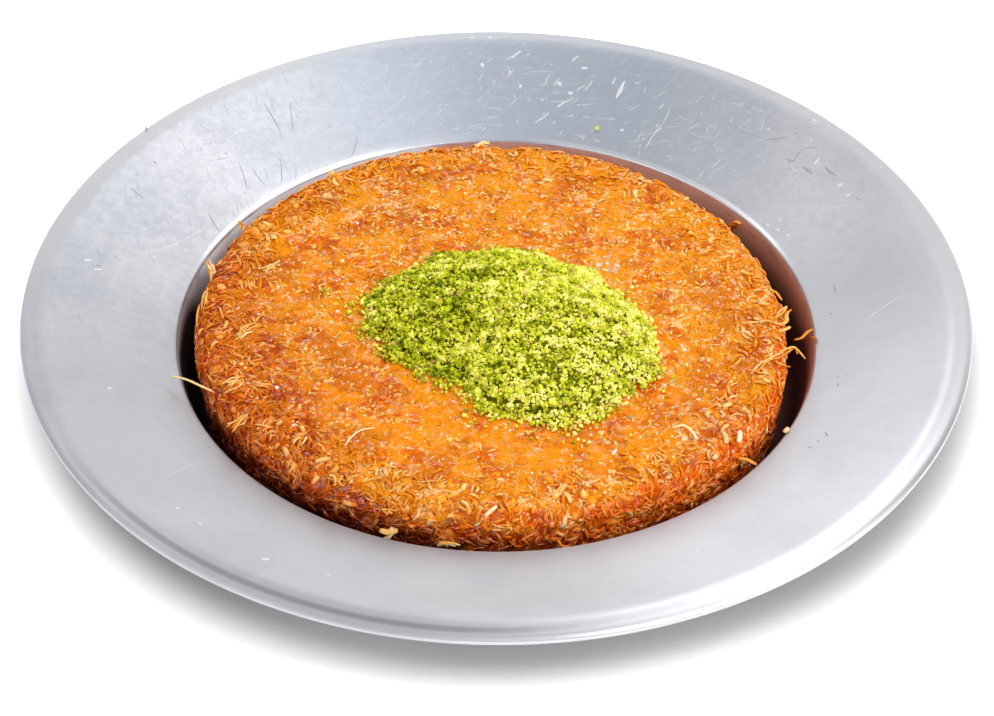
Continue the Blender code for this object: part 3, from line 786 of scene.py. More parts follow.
def strandFinish():
    finish = Finish("pastryStrand", IOR=1.45, Specular_IOR_Level=0.05, Coat_Roughness=0.16, Coat_IOR=1.8,
                    Subsurface_Weight=0.45, Subsurface_Radius=(1.0, 0.75, 0.5), Subsurface_Scale=0.6 * mm)
    tone = finish.attribute("tone")
    spot = finish.place()
    colour, bakeAndShade, low = bakedColourWithPaintedLight(finish, tone)
    fibre = finish.noise(spot, 1300, 2, 0.6)
    fibres = finish.ease(fibre, 0.5, 0.8) * (0.10 - bakeAndShade * 0.07) * finish.ease(tone, 0.3, 0.7)
    colour = finish.mix(fibres, colour, strandShades["fibre"])
    wetShine = finish.noise(spot, 520, 2)
    shine = wetness(finish, spot)
    # painted highlight: in the wet spots the colour turns pale
    paintedShine = shine * finish.ease(wetShine, 0.44, 0.56)
    finish.put("Base Color", finish.mix(paintedShine, colour, strandShades["wetShine"]))
    finish.put("Roughness", 0.40 + 0.24 * fibre)
    finish.put("Coat Weight", finish.ease(wetShine + low * 0.07 + shine * 0.15, 0.58, 0.64))
    finish.put("Normal", finish.bump(fibre, 0.08 * mm, 0.7))
    return finish


def syrupFinish():
    # the mass between the strands, filled with amber syrup
    finish = Finish("soakedPastry", IOR=1.45, Specular_IOR_Level=0.06, Coat_Roughness=0.13, Coat_IOR=1.8,
                    Subsurface_Weight=0.45, Subsurface_Radius=(1.0, 0.33, 0.07), Subsurface_Scale=1.8 * mm)
    spot = finish.place()
    tone = finish.ease(finish.noise(spot, 600, 3, 0.6, 0.8), 0.30, 0.75, (-0.15, 0.5))
    colour, bakeAndShade, low = bakedColourWithPaintedLight(finish, tone)
    finish.put("Base Color", colour)
    finish.put("Roughness", 0.30 + 0.25 * tone)
    finish.put("Coat Weight", finish.ease(finish.noise(spot, 620, 2) + low * 0.08, 0.55, 0.62))
    lumps = finish.noise(spot, 800, 3, 0.6, 0.8)
    finish.put("Normal", finish.bump(lumps, 0.5 * mm))
    return finish


def makePastryCore():
    bm = bmesh.new()
    clothOfCells(bm, pastry["cells"], lambda share, turn: Vector((share, turn, 0)))
    rows = np.array([vert.co[:] for vert in bm.verts])
    points, normals = pastryAt(rows[:, 0] * pastryReach, rows[:, 1])
    points = points + normals * reliefAt(points)[:, None]
    for vert, point in zip(bm.verts, points):
        vert.co = point
    closeBelow(bm)
    made = pieceFrom(bm, "kunafaCore", syrupFinish())
    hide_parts("kunafa")


def strandTemplate(sides, steps):
    # a bar along Z from -0.5 to 0.5 and 1 across, cut into steps
    bm = bmesh.new()
    bmesh.ops.create_cone(bm, cap_ends=True, segments=sides, radius1=0.5, radius2=0.5, depth=1)
    for cut in range(1, steps):
        geom = bm.verts[:] + bm.edges[:] + bm.faces[:]
        height = cut / steps - 0.5
        bmesh.ops.bisect_plane(bm, geom=geom, dist=1e-5, plane_co=(0, 0, height), plane_no=(0, 0, 1))
    return templateOf(bm)


def lumpTemplate(rounds):
    # a ball 1 across, for the bits that are nearly as wide as they are long
    bm = bmesh.new()
    bmesh.ops.create_icosphere(bm, subdivisions=rounds, radius=0.5)
    return templateOf(bm)


def unit(vectors):
    return vectors / np.linalg.norm(vectors, axis=1)[:, None]


def strandPoints(template, centres, along, up, look, draw):
    # bends one template strand for each centre: an arch off the surface, a curl beside it, thin ends
    count = len(centres)
    side = np.cross(up, along)
    rough = draw.normal(1, look.get("rough", 0), (count, len(template)))
    x, y, t = (axis[None] * rough for axis in template.T)
    length = draw.uniform(*look["length"], count) * mm
    width = draw.uniform(*look["width"], count) * mm
    flat = draw.uniform(*look["flatness"], count)
    curl = draw.normal(0, look.get("curl", 0), count) * length
    wave = draw.normal(0, look.get("wave", 0), count) * length
    phase = draw.uniform(0, math.tau, count)
    arch = draw.uniform(*look["arch"], count) * mm
    rise = draw.uniform(0, 1, count)
    lift = (look["lift"][0] + (look["lift"][1] - look["lift"][0]) * rise) * mm
    # painted shade: the strands that lie deepest are the darkest
    tones = look["tones"][0] + (look["tones"][1] - look["tones"][0]) * (rise + draw.uniform(0, 1, count)) / 2
    tilt = draw.normal(0, look["tilt"], count) * length
    bend = 4 * t ** 2
    taper = 1 - 0.3 * bend ** 3
    moved = centres[:, None] + along[:, None] * (length[:, None] * t)[..., None]
    sideways = curl[:, None] * (bend - 0.4) + wave[:, None] * np.sin(5 * t + phase[:, None])
    sideways = sideways + width[:, None] * x * taper
    upwards = lift[:, None] + arch[:, None] * (1 - bend) + tilt[:, None] * t
    upwards = upwards + 0.25 * wave[:, None] * np.cos(6 * t + phase[:, None])
    upwards = upwards + (width * flat)[:, None] * y * taper
    # painted shade: their undersides are darker than their tops
    tones = tones[:, None] + 0.28 * template[None, :, 1] - 0.02
    return moved + side[:, None] * sideways[..., None] + up[:, None] * upwards[..., None], tones


strands = {
    # lengths are in mm; from and to: share of the way from the middle of the top to the foot; sector: the
    # directions between which they lie; turned: how many run round the side; bundle: how many lie together
    "bed": {
        "count": 4200, "from": 0.0, "to": 0.80, "length": (2.0, 5.0), "width": (0.7, 1.2),
        "flatness": (0.45, 0.7), "curl": 0.05, "wave": 0.02, "arch": (0.0, 0.12), "lift": (-0.40, -0.14),
        "tilt": 0.03, "tones": (-0.05, 0.5), "steps": 2, "seed": 1},
    "golden": {
        "count": 5200, "from": 0.0, "to": 0.80, "length": (1.4, 3.4), "width": (0.5, 0.9),
        "flatness": (0.4, 0.65), "curl": 0.05, "wave": 0.01, "arch": (0.0, 0.1), "lift": (-0.32, -0.04),
        "tilt": 0.05, "tones": (0.05, 0.95), "steps": 2, "seed": 2},
    "bits": {
        "count": 7500, "from": 0.0, "to": 0.82, "length": (0.7, 1.7), "width": (0.6, 1.15),
        "flatness": (0.4, 0.7), "arch": (0.0, 0.05), "lift": (-0.32, 0.04), "tilt": 0.10,
        "tones": (0.0, 1.0), "rough": 0.10, "lump": 1, "seed": 3},
    "pale": {
        "count": 1300, "from": 0.0, "to": 0.80, "length": (0.8, 2.4), "width": (0.4, 0.7),
        "flatness": (0.4, 0.7), "curl": 0.05, "wave": 0.01, "arch": (0.0, 0.08), "lift": (-0.18, 0.04),
        "tilt": 0.08, "tones": (0.75, 1.15), "steps": 2, "seed": 4},
    "side": {
        "count": 3800, "from": 0.76, "to": 0.94, "length": (1.6, 4.2), "width": (0.5, 0.9),
        "flatness": (0.6, 0.9), "curl": 0.10, "wave": 0.04, "arch": (0.0, 0.3), "lift": (-0.35, 0.15),
        "tilt": 0.12, "tones": (0.0, 0.7), "turned": 0.4, "steps": 3, "seed": 5},
    "curls": {
        "count": 1100, "from": 0.62, "to": 0.84, "length": (1.4, 4.0), "width": (0.45, 0.85),
        "flatness": (0.6, 0.9), "curl": 0.12, "wave": 0.05, "arch": (0.05, 0.5), "lift": (-0.15, 0.3),
        "tilt": 0.16, "tones": (0.1, 0.8), "turned": 0.2, "steps": 4, "seed": 6},
    "flakes": {
        "count": 170, "from": 0.64, "to": 0.86, "length": (1.5, 3.6), "width": (0.9, 1.6),
        "flatness": (0.2, 0.35), "curl": 0.10, "wave": 0.05, "arch": (0.1, 0.4), "lift": (0.05, 0.4),
        "tilt": 0.22, "tones": (0.6, 1.0), "turned": 0.1, "steps": 5, "seed": 7},
    "tufts": {
        "count": 1700, "from": 0.62, "to": 0.86, "length": (2.0, 4.8), "width": (0.38, 0.75),
        "flatness": (0.35, 0.6), "curl": 0.07, "wave": 0.03, "arch": (0.0, 0.35), "lift": (-0.25, 0.3),
        "tilt": 0.10, "tones": (0.0, 0.85), "turned": 0.6, "sector": (112, 262), "bundle": 5, "steps": 4,
        "seed": 8},
    "clumps": {
        "count": 620, "from": 0.64, "to": 0.86, "length": (1.6, 3.6), "width": (1.2, 2.2),
        "flatness": (0.35, 0.6), "arch": (0.0, 0.1), "lift": (-0.45, 0.1), "tilt": 0.12, "tones": (0.1, 0.7),
        "turned": 0.3, "rough": 0.11, "sector": (105, 330), "lump": 2, "seed": 9},
}


laying = {
    "stray": 0.6 * mm,  # how far a strand lies from its even place
    "heading": 1.1,  # how far it turns from the combed direction, in radians
    "side heading": 0.45,  # the same for those that run round the side
    "comb size": 9 * mm,
    "comb turn": 7,
    "bundle stray": 0.9 * mm,
    "bundle heading": 0.25,
    "under heap": 1.5 * mm,
    # near the front of the top the strands lie a little deeper in the syrup
    "sunk": 0.13 * mm,
    "sunk from": 8 * mm,
    "sunk over": 28 * mm,
    "sunk edge": 62 * mm,
    "sunk edge over": 8 * mm,
}


def scatterStrands(kind, finish):
    look = strands[kind]
    draw = np.random.default_rng(look["seed"])
    bundle = look.get("bundle", 1)
    count = look["count"] // bundle
    start, end = (math.radians(degrees) for degrees in look.get("sector", (0, 360)))
    turn = np.mod((np.arange(count) + 0.5) * goldenAngle + draw.uniform(-0.4, 0.4, count), math.tau)
    turn = start + turn * (end - start) / math.tau
    distance = evenShares(look["from"], look["to"], count) * pastryReach
    distance = distance + draw.normal(0, laying["stray"], count)
    heading = draw.normal(0, laying["heading"], count)
    if bundle > 1:
        # strands of one bundle lie side by side, a little apart
        turn, distance, heading = (np.repeat(row, bundle) for row in (turn, distance, heading))
        distance = distance + draw.normal(0, laying["bundle stray"], len(turn))
        turn = turn + draw.normal(0, laying["bundle stray"], len(turn)) / pastry["radius"]
        heading = heading + draw.normal(0, laying["bundle heading"], len(turn))
    points, normals = pastryAt(distance, turn)
    kept = beyondHeap(points) > -laying["under heap"]
    points, normals, turn, heading, distance = (
        row[kept] for row in (points, normals, turn, heading, distance))
    sunk = np.clip((-points[:, 1] - laying["sunk from"]) / laying["sunk over"], 0, 1)
    sunk = sunk * np.clip((laying["sunk edge"] - distance) / laying["sunk edge over"], 0, 1)
    points = points + normals * (reliefAt(points, fine=False) - sunk * laying["sunk"])[:, None]
    # locally combed directions, with each strand turned from them at random
    comb = np.array([noise.noise(Vector(point) / laying["comb size"]) for point in points])
    around = np.column_stack([-np.sin(turn), np.cos(turn), 0 * turn])
    outward = np.cross(around, normals)
    steep = np.clip(1.6 * (1 - normals[:, 2]), 0, 1) * look.get("turned", 0)
    flat = draw.uniform(0, 1, len(points)) < steep
    heading = heading + comb * laying["comb turn"]
    heading = np.where(flat, draw.normal(0, laying["side heading"], len(points)), heading)
    along = around * np.cos(heading)[:, None] + outward * np.sin(heading)[:, None]
    template, faces = lumpTemplate(look["lump"]) if "lump" in look else strandTemplate(4, look["steps"])
    laid, tones = strandPoints(template, points, unit(along), normals, look, draw)
    layOut(kind + "Strands", laid, faces, finish, tones)


# Strands and flakes that lie or stand by themselves: the points each one passes through in mm, its width in
# mm and its tone, from 0 for brown to 1 for cream.
loneStrands = [
    # off the edge at the left, the first over the mouth
    (((-62.5, -26.0, 21.0), (-66.8, -24.4, 22.0), (-70.8, -22.2, 22.4), (-74.6, -19.8, 21.3)), 0.85, 0.88),
    (((-69.4, -2.5, 21.6), (-69.6, 1.0, 22.0), (-69.3, 4.6, 22.2)), 0.6, 0.65),
    # off the edge at the right
    (((63.6, -12.2, 22.4), (67.8, -9.5, 22.8), (69.5, -9.0, 21.8), (71.5, -10.0, 19.8)), 0.75, 0.75),
    (((66.8, -10.8, 22.0), (68.9, -8.6, 22.2), (69.7, -9.6, 20.8)), 0.6, 0.6),
    (((63.0, -12.0, 21.0), (66.6, -10.4, 21.6), (68.8, -8.0, 21.4)), 0.8, 0.7),
    (((64.6, -1.0, 22.2), (67.2, -0.4, 22.8), (67.5, 2.0, 23.2)), 1.2, 0.75),
    (((64.6, -3.4, 22.0), (67.0, -2.9, 22.7), (68.2, -1.6, 22.4)), 1.1, 0.8),
    (((61.0, 10.0, 22.4), (64.8, 11.0, 22.9), (66.8, 8.4, 22.2)), 0.8, 0.6),
    # on the top
    (((-33.7, -47.2, 24.6), (-32.2, -44.4, 24.9), (-30.0, -42.2, 25.1), (-27.3, -41.4, 24.9)), 0.5, 1.0),
    (((39.7, -40.4, 24.9), (42.4, -39.9, 25.2), (44.2, -41.8, 25.1), (45.3, -44.2, 24.8)), 0.8, 1.0),
    (((58.3, -21.0, 24.4), (60.6, -17.4, 24.6), (66.0, -12.1, 23.6)), 0.65, 0.8),
    (((59.6, -20.4, 24.3), (62.4, -16.2, 24.4), (65.2, -14.4, 23.8)), 0.5, 0.7),
    (((55.1, -40.2, 24.0), (55.0, -41.9, 24.0), (54.7, -43.6, 23.5)), 1.3, 1.0),
    (((54.6, -43.2, 18.4), (56.8, -43.3, 18.0), (59.0, -43.8, 17.0)), 1.2, 0.6),
    # in the gap and against the wall, at the right
    (((55.9, 46.4, 13.9), (57.6, 45.9, 15.0), (58.8, 44.8, 15.2)), 2.0, 0.35),
    (((57.0, 45.6, 15.6), (57.9, 45.2, 16.2), (58.8, 44.4, 16.2)), 1.1, 0.7),
    (((69.5, 0.7, 16.5), (71.2, 0.8, 17.0), (72.8, 2.6, 17.4), (74.2, 3.8, 17.3)), 0.9, 0.55),
    (((73.4, -0.3, 18.3), (74.7, -1.5, 18.7)), 0.8, 0.3),
    (((65.5, -34.0, 18.2), (66.6, -33.2, 18.9)), 1.4, 0.9),
    # flakes low on the front
    (((-25.4, -66.2, 16.6), (-23.6, -66.7, 16.4), (-21.4, -66.4, 16.8)), 2.2, 0.8),
    (((-24.8, -67.2, 14.4), (-23.3, -67.2, 15.6), (-22.6, -66.4, 17.6)), 1.7, 0.9),
    (((-4.3, -68.8, 20.6), (-1.9, -67.3, 22.4), (0.5, -65.8, 23.8)), 1.4, 0.95),
    (((14.0, -68.0, 15.8), (15.2, -68.6, 14.4), (17.4, -68.2, 13.6)), 0.9, 0.5),
    (((-26.0, -60.0, 23.4), (-24.6, -62.4, 23.4), (-22.0, -64.2, 22.4)), 0.9, 0.8),
]


tuftForm = {"width": (0.4, 0.75), "stray between": 0.35, "rise between": 0.3, "seed": 41}

# Tufts that stand off the edge: where each one's strands start and where they end, in mm, how far they stray
# there, how many they are and their tones.
edgeTufts = [
    ((-66.2, 15.0, 21.6), (-67.6, 19.6, 22.8), 0.6, 12, (0.5, 1.0)),
    ((-68.6, 2.5, 21.8), (-67.6, 8.6, 23.2), 0.6, 8, (0.4, 0.9)),
    ((-60.0, 32.5, 22.6), (-60.8, 34.6, 23.0), 0.5, 5, (0.3, 0.8)),
    ((-61.0, -27.0, 23.7), (-58.8, -24.8, 24.2), 0.9, 14, (0.6, 0.9)),
    ((-58.4, -39.0, 23.0), (-56.6, -36.0, 23.8), 0.9, 10, (0.5, 0.95)),
    ((-59.2, -9.0, 24.1), (-57.0, -5.8, 24.4), 0.8, 10, (0.6, 1.0)),
    ((-54.6, 14.2, 24.2), (-53.0, 17.6, 24.5), 0.8, 9, (0.6, 0.95)),
    ((-34.6, -58.6, 23.8), (-36.0, -56.8, 24.2), 1.0, 10, (0.5, 0.9)),
    ((-21.6, -62.2, 24.2), (-21.2, -59.6, 24.5), 0.8, 9, (0.5, 0.9)),
    ((-12.4, -68.8, 15.0), (-8.4, -69.2, 15.4), 0.5, 10, (0.5, 0.95)),
    ((-24.6, -66.4, 22.2), (-22.6, -66.8, 22.4), 0.6, 6, (0.5, 0.9)),
    ((-44.6, -46.0, 24.0), (-43.0, -43.8, 24.4), 0.8, 8, (0.4, 0.9)),
    ((65.6, 1.0, 22.4), (67.6, 4.4, 22.8), 0.8, 6, (0.4, 0.9)),
    ((62.6, -14.0, 22.6), (66.6, -15.0, 21.8), 1.0, 6, (0.4, 0.9)),
    ((-5.5, 65.4, 22.8), (-2.5, 67.0, 22.9), 0.5, 9, (0.7, 1.0)),
    ((-40.0, 53.2, 22.8), (-40.6, 54.8, 23.0), 0.5, 5, (0.4, 0.9)),
]


def tuftStrands(draw):
    laid = []
    for start, end, stray, count, tones in edgeTufts:
        for strand in range(count):
            first = np.array(start) + draw.normal(0, stray, 3) * (1, 1, 0.4)
            last = np.array(end) + draw.normal(0, stray, 3) * (1, 1, 0.5)
            middle = (first + last) / 2 + draw.normal(0, tuftForm["stray between"] * stray, 3)
            middle = middle + (0, 0, tuftForm["rise between"])
            laid.append(((first, middle, last), draw.uniform(*tuftForm["width"]), draw.uniform(*tones)))
    return laid


def loneFinish():
    finish = Finish("looseStrand", IOR=1.45, Specular_IOR_Level=0.12, Subsurface_Weight=0.2,
                    Subsurface_Radius=(1.0, 0.45, 0.15), Subsurface_Scale=1.0 * mm)
    spot = finish.place()
    fibre = finish.noise(spot, 1100, 3, 0.6)
    shade = finish.attribute("tone") + (fibre - 0.5) * 0.35
    finish.put("Base Color", finish.ramp(shade, strandShades["loose"]))
    finish.put("Roughness", 0.40 + 0.25 * fibre)
    finish.put("Normal", finish.bump(fibre, 0.15 * mm, 0.9))
    return finish


def alongCurve(stops, share):
    # points on a smooth line through the stops, for shares from 0 to 1, and the directions there
    stops = np.array(stops)
    ends = np.vstack([2 * stops[0] - stops[1], stops, 2 * stops[-1] - stops[-2]])
    place = np.clip(share, 0, 1) * (len(stops) - 1)
    start = np.minimum(np.floor(place).astype(int), len(stops) - 2)
    part = (place - start)[:, None]
    a, b, c, d = (ends[start + step] for step in range(4))
    way = c - a + 2 * part * (2 * a - 5 * b + 4 * c - d) + 3 * part ** 2 * (3 * (b - c) + d - a)
    return smoothBetween(a, b, c, d, part), unit(way)


def layLoneStrands(finish):
    points, faces = strandTemplate(4, 8)
    laid = []
    allStrands = loneStrands + tuftStrands(np.random.default_rng(tuftForm["seed"]))
    for stops, width, tone in allStrands:
        spot, way = alongCurve(np.array(stops) * mm, points[:, 2] + 0.5)
        side = unit(np.cross(way, (0.1, 0.2, 1.0)))
        above = np.cross(side, way)
        thick = (width * mm * (1 - 0.35 * (2 * points[:, 2]) ** 4))[:, None]
        laid.append(spot + side * points[:, :1] * thick + above * points[:, 1:2] * thick * 0.7)
    tones = np.array([tone for stops, width, tone in allStrands])
    layOut("loneStrands", np.array(laid), faces, finish, tones)


# Pistachio

grains = {
    # radius in mm; share: how far out they lie, of the heap's reach; lift: in shares of the radius
    "coarse": {"count": 260, "radius": (0.45, 0.8), "share": (0.0, 0.98), "lift": (-0.3, 0.9),
               "tones": (0.35, 1.0), "rounds": 2, "seed": 21},
    "middling": {"count": 6200, "radius": (0.30, 0.58), "share": (0.0, 1.02), "lift": (-0.4, 0.9),
                 "tones": (0.3, 0.85), "rounds": 1, "seed": 24},
    "fine": {"count": 7200, "radius": (0.24, 0.42), "share": (0.0, 1.03), "lift": (-0.4, 1.6),
             "tones": (0.3, 0.9), "rounds": 1, "seed": 22},
    "edge": {"count": 2600, "radius": (0.28, 0.6), "share": (0.84, 1.06), "lift": (-0.4, 1.0),
             "tones": (0.2, 0.9), "rounds": 1, "seed": 25},
}

grainForm = {"rough": 0.22, "sides": (0.55, 1.25)}

looseGrains = {"radius": (0.22, 0.55), "lift": (0.2, 2.2), "tones": (0.3, 0.85), "clear": 0.4 * mm,
               "seed": 23}

# Loose grains round the heap: the middle of each group and how far it spreads, in mm, and how many
grainGroups = [
    ((29.3, 7.6), 2.6, 22), ((18.8, -42.8), 2.2, 18), ((-3.4, -36.1), 2.4, 34), ((-14.3, -21.5), 2.0, 40),
    ((-23.2, -15.6), 1.5, 60), ((-25.6, -14.4), 1.2, 30), ((-35.9, 4.5), 2.8, 24), ((40.0, -22.0), 2.0, 8),
    ((-11.6, -26.0), 1.4, 50), ((-5.8, -29.9), 1.6, 50), ((-29.0, -8.3), 1.6, 40), ((-17.0, -22.0), 1.2, 30),
    ((-31.0, -3.0), 3.5, 18), ((8.0, -40.0), 4.0, 8), ((28.0, -36.0), 3.5, 6), ((36.0, -28.0), 2.5, 5),
    ((34.0, 0.0), 3.0, 10), ((0.0, 22.5), 4.0, 12), ((-20.0, 14.5), 4.0, 12),
]

crumbOnRim = {"at": np.array([24.4, 76.9, 20.1]) * mm, "radius": 0.7 * mm, "tone": 0.65}

nutShades = {
    "ground": [(0.0, (0.060, 0.085, 0.002)), (0.25, (0.27, 0.315, 0.004)), (0.5, (0.53, 0.56, 0.012)),
               (0.75, (0.77, 0.755, 0.060)), (1.0, (0.96, 0.93, 0.28))],
    "pale skin": (0.72, 0.48, 0.14),
    "dark skin": (0.40, 0.22, 0.10),
    "mealShade": [(0.25, (0.08, 0.11, 0.003)), (0.5, (0.22, 0.25, 0.006)), (0.8, (0.48, 0.48, 0.02))],
}


def nutFinish():
    finish = Finish("groundPistachio", IOR=1.45, Specular_IOR_Level=0.12, Subsurface_Weight=0.12,
                    Subsurface_Radius=(0.8, 1.0, 0.2), Subsurface_Scale=0.8 * mm)
    spot = finish.place()
    tone = finish.attribute("tone")
    speckle = finish.noise(spot, 900, 3, 0.6)
    clump = finish.noise(spot, 150, 2, 0.5)
    bunch = finish.noise(finish.shifted(spot, 0.23), 330, 1, 0.5)
    x, y, z = finish.axes(spot)
    mixed = tone + (speckle - 0.5) * 0.4 + (clump - 0.5) * 0.7 + (bunch - 0.5) * 1.4
    # painted light: lighter towards the right, where the light falls, darker at the left
    mixed = mixed + finish.ease(x, -16 * mm, 30 * mm, (-0.06, 0.19))
    colour = finish.ramp(mixed, nutShades["ground"])
    # a few grains still have their brown skin
    kind = finish.attribute("skin")
    colour = finish.mix(finish.ease(kind, 0.935, 0.940) * 0.75, colour, nutShades["pale skin"])
    colour = finish.mix(finish.ease(kind, 0.992, 0.994) * 0.85, colour, nutShades["dark skin"])
    finish.put("Base Color", colour)
    finish.put("Roughness", 0.55 + 0.3 * speckle)
    finish.put("Normal", finish.bump(speckle, 0.12 * mm, 0.8))
    return finish


def heapTop(x, y, share):
    # the heap's surface over its base, with its broad lumps and its grain-sized bumps
    dome = heap["edge"] + (heap["height"] - heap["edge"]) * max(1 - share ** 2, 0) ** 0.9
    lumps = noise.noise(Vector((x, y, 0)) / heap["lump size"] + Vector((5, 2, 8)))
    height = dome + heap["lumps"] * lumps * min(1, 3 * (1 - share))
    # rounded crumbs that lie side by side with clefts between them
    spot = Vector((x, y, 0)) / heap["grain"]
    spot += noise.noise_vector(spot * 1.3) * 0.35
    crumbs = 0.45 - min(noise.voronoi(spot)[0][0], 0.9) + 0.25 * noise.noise(spot * 2.9)
    clumps = noise.noise(Vector((x, y, 0)) / heap["clump size"] + Vector((2, 9, 4)))
    for middleX, middleY, reach in heap["hollows"]:
        away = math.hypot(x / mm - middleX, y / mm - middleY) / reach
        height -= heap["hollow depth"] * math.exp(-away ** 2) * min(1, 4 * (1 - share))
    return height + (crumbs * heap["relief"] + clumps * heap["clumps"]) * min(1, 4 * (1 - share))


def makeHeapCore():
    # the core shows only between the grains; its dark colour is painted shade
    finish = Finish("shadedNutMeal", IOR=1.45, Specular_IOR_Level=0.15)
    spot = finish.place()
    mealShade = finish.noise(spot, 800, 3, 0.65)
    finish.put("Base Color", finish.ramp(mealShade, nutShades["mealShade"]))
    finish.put("Roughness", 0.7 + 0.25 * mealShade)
    finish.put("Normal", finish.bump(mealShade, 0.4 * mm))

    def place(share, turn):
        reach = share * (float(heapEdge(turn)) - heap["inset"])
        x, y = heap["centre"][0] + reach * math.cos(turn), heap["centre"][1] + reach * math.sin(turn)
        return Vector((x, y, heap["base"] + max(heapTop(x, y, share) - 0.4 * mm, 0.2 * mm)))

    bm = bmesh.new()
    clothOfCells(bm, heap["cells"], place)
    closeBelow(bm, lowest=heap["base"])
    made = pieceFrom(bm, "pistachioCore", finish)
    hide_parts("pistachio")


def randomTurns(count, draw):
    # one random rotation matrix for each copy
    w, x, y, z = unit(draw.normal(size=(count, 4))).T
    rows = [1 - 2 * (y * y + z * z), 2 * (x * y - z * w), 2 * (x * z + y * w),
            2 * (x * y + z * w), 1 - 2 * (x * x + z * z), 2 * (y * z - x * w),
            2 * (x * z - y * w), 2 * (y * z + x * w), 1 - 2 * (x * x + y * y)]
    return np.stack(rows, axis=1).reshape(-1, 3, 3)


def layGrains(name, finish, centres, radius, tones, rounds, draw):
    # rough broken grains of that radius at those centres
    count = len(centres)
    bm = bmesh.new()
    bmesh.ops.create_icosphere(bm, subdivisions=rounds, radius=1)
    points, faces = templateOf(bm)
    shapes = points[None] * (1 + draw.normal(0, grainForm["rough"], (count, len(points), 1)))
    shapes = shapes * draw.uniform(*grainForm["sides"], (count, 1, 3))
    shapes = np.einsum("nij,nkj->nki", randomTurns(count, draw), shapes) * radius[:, None, None]
    made = layOut(name, centres[:, None] + shapes, faces, finish, tones, smooth=False)
    skin = made.data.attributes.new("skin", "FLOAT", "POINT")
    skin.data.foreach_set("value", np.repeat(draw.uniform(0, 1, count), len(points)).astype(np.float32))


def scatterGrains(kind, finish):
    look = grains[kind]
    draw = np.random.default_rng(look["seed"])
    count = look["count"]
    turn = np.arange(count) * goldenAngle + draw.uniform(-0.3, 0.3, count)
    share = np.clip(evenShares(*look["share"], count) + draw.normal(0, 0.015, count), *look["share"])
    reach = share * heapEdge(turn)
    radius = draw.uniform(*look["radius"], count) * mm
    x, y = heap["centre"][0] + reach * np.cos(turn), heap["centre"][1] + reach * np.sin(turn)
    height = np.array([heapTop(*spot) if spot[2] < 1 else 0.3 * mm for spot in zip(x, y, share)])
    # grains at the edge lie at any height against the heap's side
    height = height * np.where(share > 0.92, draw.uniform(0, 1, count), 1)
    height = height + radius * draw.uniform(*look["lift"], count)
    centres = np.column_stack([x, y, heap["base"] + np.maximum(height, radius * 0.2)])
    tones = draw.uniform(*look["tones"], count)
    layGrains(kind + "Pistachio", finish, centres, radius, tones, look["rounds"], draw)


def layLooseGrains(finish):
    draw = np.random.default_rng(looseGrains["seed"])
    spots = np.vstack([draw.normal(middle, spread, (count, 2)) for middle, spread, count in grainGroups]) * mm
    spots = spots[beyondHeap(np.column_stack([spots, 0 * spots[:, 0]])) > looseGrains["clear"]]
    radius = draw.uniform(*looseGrains["radius"], len(spots)) * mm
    height = pastry["top"] + 0.1 * mm + radius * draw.uniform(*looseGrains["lift"], len(spots))
    tones = draw.uniform(*looseGrains["tones"], len(spots))
    # and one on the plate's rim
    centres = np.vstack([np.column_stack([spots, height]), crumbOnRim["at"]])
    radius = np.append(radius, crumbOnRim["radius"])
    layGrains("loosePistachio", finish, centres, radius, np.append(tones, crumbOnRim["tone"]), 1, draw)


# Studio

studio = {
    "elevation": 0.70237882,
    "roll": 0.00857649,
    "distance": 1.0,
    "aside": 0.24003 * mm,
    "above": -10.5413 * mm,
    "aim height": 24.6037 * mm,
    "lens": 156.006,
    "lights": {
        "key": {"from": (0.27, 0.49, 0.83), "size": 0.9, "power": 2.5},
        "back": {"from": (-0.17, 0.94, 0.30), "size": 0.8, "power": 1.5},
        "glint": {"from": (0.16, 0.62, 0.77), "size": 0.19, "power": 1.1},
        "sideGlint": {"from": (-0.38, 0.50, 0.78), "size": 0.19, "power": 1.0},
        "highGlint": {"from": (0.45, 0.20, 0.87), "size": 0.19, "power": 1.0},
        "left": {"from": (-0.84, -0.22, 0.50), "size": 1.4, "power": 3.0},
        "right": {"from": (0.84, -0.22, 0.50), "size": 1.4, "power": 6.0},
        "high": {"from": (0.44, -0.42, 0.79), "size": 0.6, "power": 7.5},
    },
    "lights away": 1.6,
    # the sky's brightness high on the camera's side, overhead, behind, and low at the back
    "sky": {"front": 1.06, "overhead": 0.515, "behind": 0.90, "low": 1.28, "colour": (0.975, 0.99, 1.0)},
    "floor size": 8.0,
    # the paper glows, a painted light, except under the plate and close to it, which leaves a painted shadow
    # there; at its sides near the plate its colour is darker, a painted shadow too
    "glow": (0.62, 0.62, 0.62),
    "glow middle": 17 * mm,  # how far behind the plate's middle the painted shadow's dark round lies
    "glow aside": 2.5 * mm,
    "glow reach": (106 * mm, 122 * mm),
    "side shade": 0.42,
    "side shade reach": (20 * mm, 90 * mm),
    "paper": ((0.86, 0.855, 0.85), (0.89, 0.885, 0.88)),
}


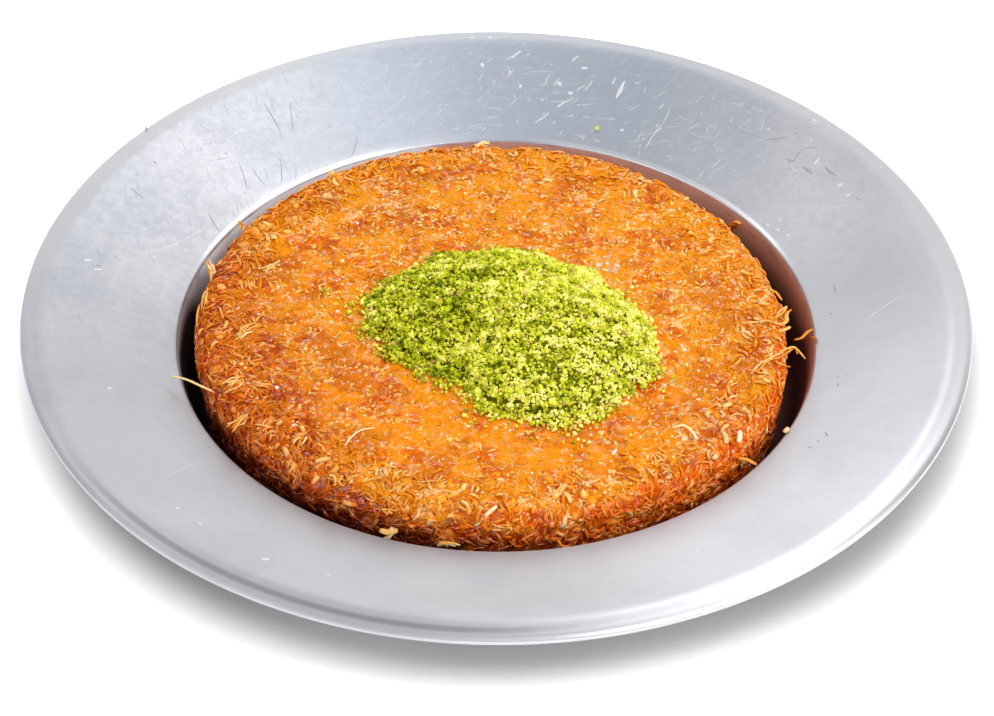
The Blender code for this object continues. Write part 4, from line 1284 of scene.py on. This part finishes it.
def makeCamera():
    elevation, roll = studio["elevation"], studio["roll"]
    back = Vector((0, -math.cos(elevation), math.sin(elevation)))
    right = Vector((1, 0, 0))
    up = back.cross(right)
    camera = bpy.data.objects.new("photoCamera", bpy.data.cameras.new("photoCamera"))
    bpy.context.scene.collection.objects.link(camera)
    camera.data.lens = studio["lens"]
    camera.data.sensor_width = 36
    camera.data.clip_start = 0.01
    spot = back * studio["distance"] + right * studio["aside"] + up * studio["above"]
    spot += Vector((0, 0, studio["aim height"]))
    turnedRight = right * math.cos(roll) + up * math.sin(roll)
    turnedUp = up * math.cos(roll) - right * math.sin(roll)
    turned = Matrix((turnedRight, turnedUp, back)).transposed()
    camera.matrix_world = Matrix.Translation(spot) @ turned.to_4x4()
    bpy.context.scene.camera = camera


def makeLight(name, look):
    light = bpy.data.lights.new(name + "Softbox", "AREA")
    light.shape = "DISK"
    light.size = look["size"]
    light.energy = look["power"]
    box = bpy.data.objects.new(light.name, light)
    bpy.context.scene.collection.objects.link(box)
    direction = Vector(look["from"]).normalized()
    box.location = direction * studio["lights away"]
    box.rotation_euler = direction.to_track_quat("Z", "Y").to_euler()


def makeSky():
    world = bpy.data.worlds.new("studioSky")
    bpy.context.scene.world = world
    world.use_nodes = True
    sky = Recipe(world.node_tree, "Background")
    x, y, z = sky.axes(sky.node("ShaderNodeTexCoord"))
    look = studio["sky"]
    front = sky.ease(y, 0.15, -0.30) * sky.ease(z, 0.05, 0.5) * (look["front"] - look["overhead"])
    behind = sky.ease(y, 0.35, 0.75) * (look["behind"] - look["overhead"])
    low = sky.ease(y, 0.84, 0.985) * (look["low"] - look["behind"])
    sky.put("Color", (*look["colour"], 1))
    sky.put("Strength", front + behind + low + look["overhead"])


def makeFloor():
    bm = bmesh.new()
    bmesh.ops.create_grid(bm, x_segments=2, y_segments=2, size=studio["floor size"])
    paper = Finish("whitePaper", Roughness=0.9)
    grain = paper.noise(paper.place(), 900, 2)
    x, y, z = paper.axes(paper.place())
    aside, across = paper.maths("ABSOLUTE", x), x - studio["glow aside"]
    off = y - studio["glow middle"]
    away = paper.root(across * across + off * off)
    near, far = studio["glow reach"]
    # painted shadow: darker near the plate at its sides, and no glow under and close to it
    shade = paper.ease(aside, *studio["side shade reach"]) * paper.ease(away, far, near)
    black = (0.0, 0.0, 0.0)
    white = paper.mix(grain, *studio["paper"])
    paper.put("Base Color", paper.mix(shade * studio["side shade"], white, black))
    paper.put("Emission Color", paper.mix(paper.ease(away, near, far), black, studio["glow"]))
    paper.put("Emission Strength", 1.0)
    mesh = bpy.data.meshes.new("studioFloor")
    bm.to_mesh(mesh)
    bm.free()
    mesh.materials.append(paper.material)
    floor = bpy.data.objects.new("studioFloor", mesh)
    bpy.context.scene.collection.objects.link(floor)


def makeStudio():
    makeCamera()
    for name, look in studio["lights"].items():
        makeLight(name, look)
    makeSky()
    makeFloor()
    bpy.context.scene.view_settings.view_transform = "Standard"


makeStudio()
print("studio set")
makePlate()
for kind in rimMarkLooks:
    layRimMarks(kind)
print("plate made")
makePastryCore()
strandCoat = strandFinish()
for kind in strands:
    scatterStrands(kind, strandCoat)
layLoneStrands(loneFinish())
print("pastry made")
makeHeapCore()
nutCoat = nutFinish()
for kind in grains:
    scatterGrains(kind, nutCoat)
layLooseGrains(nutCoat)
print("pistachio made")
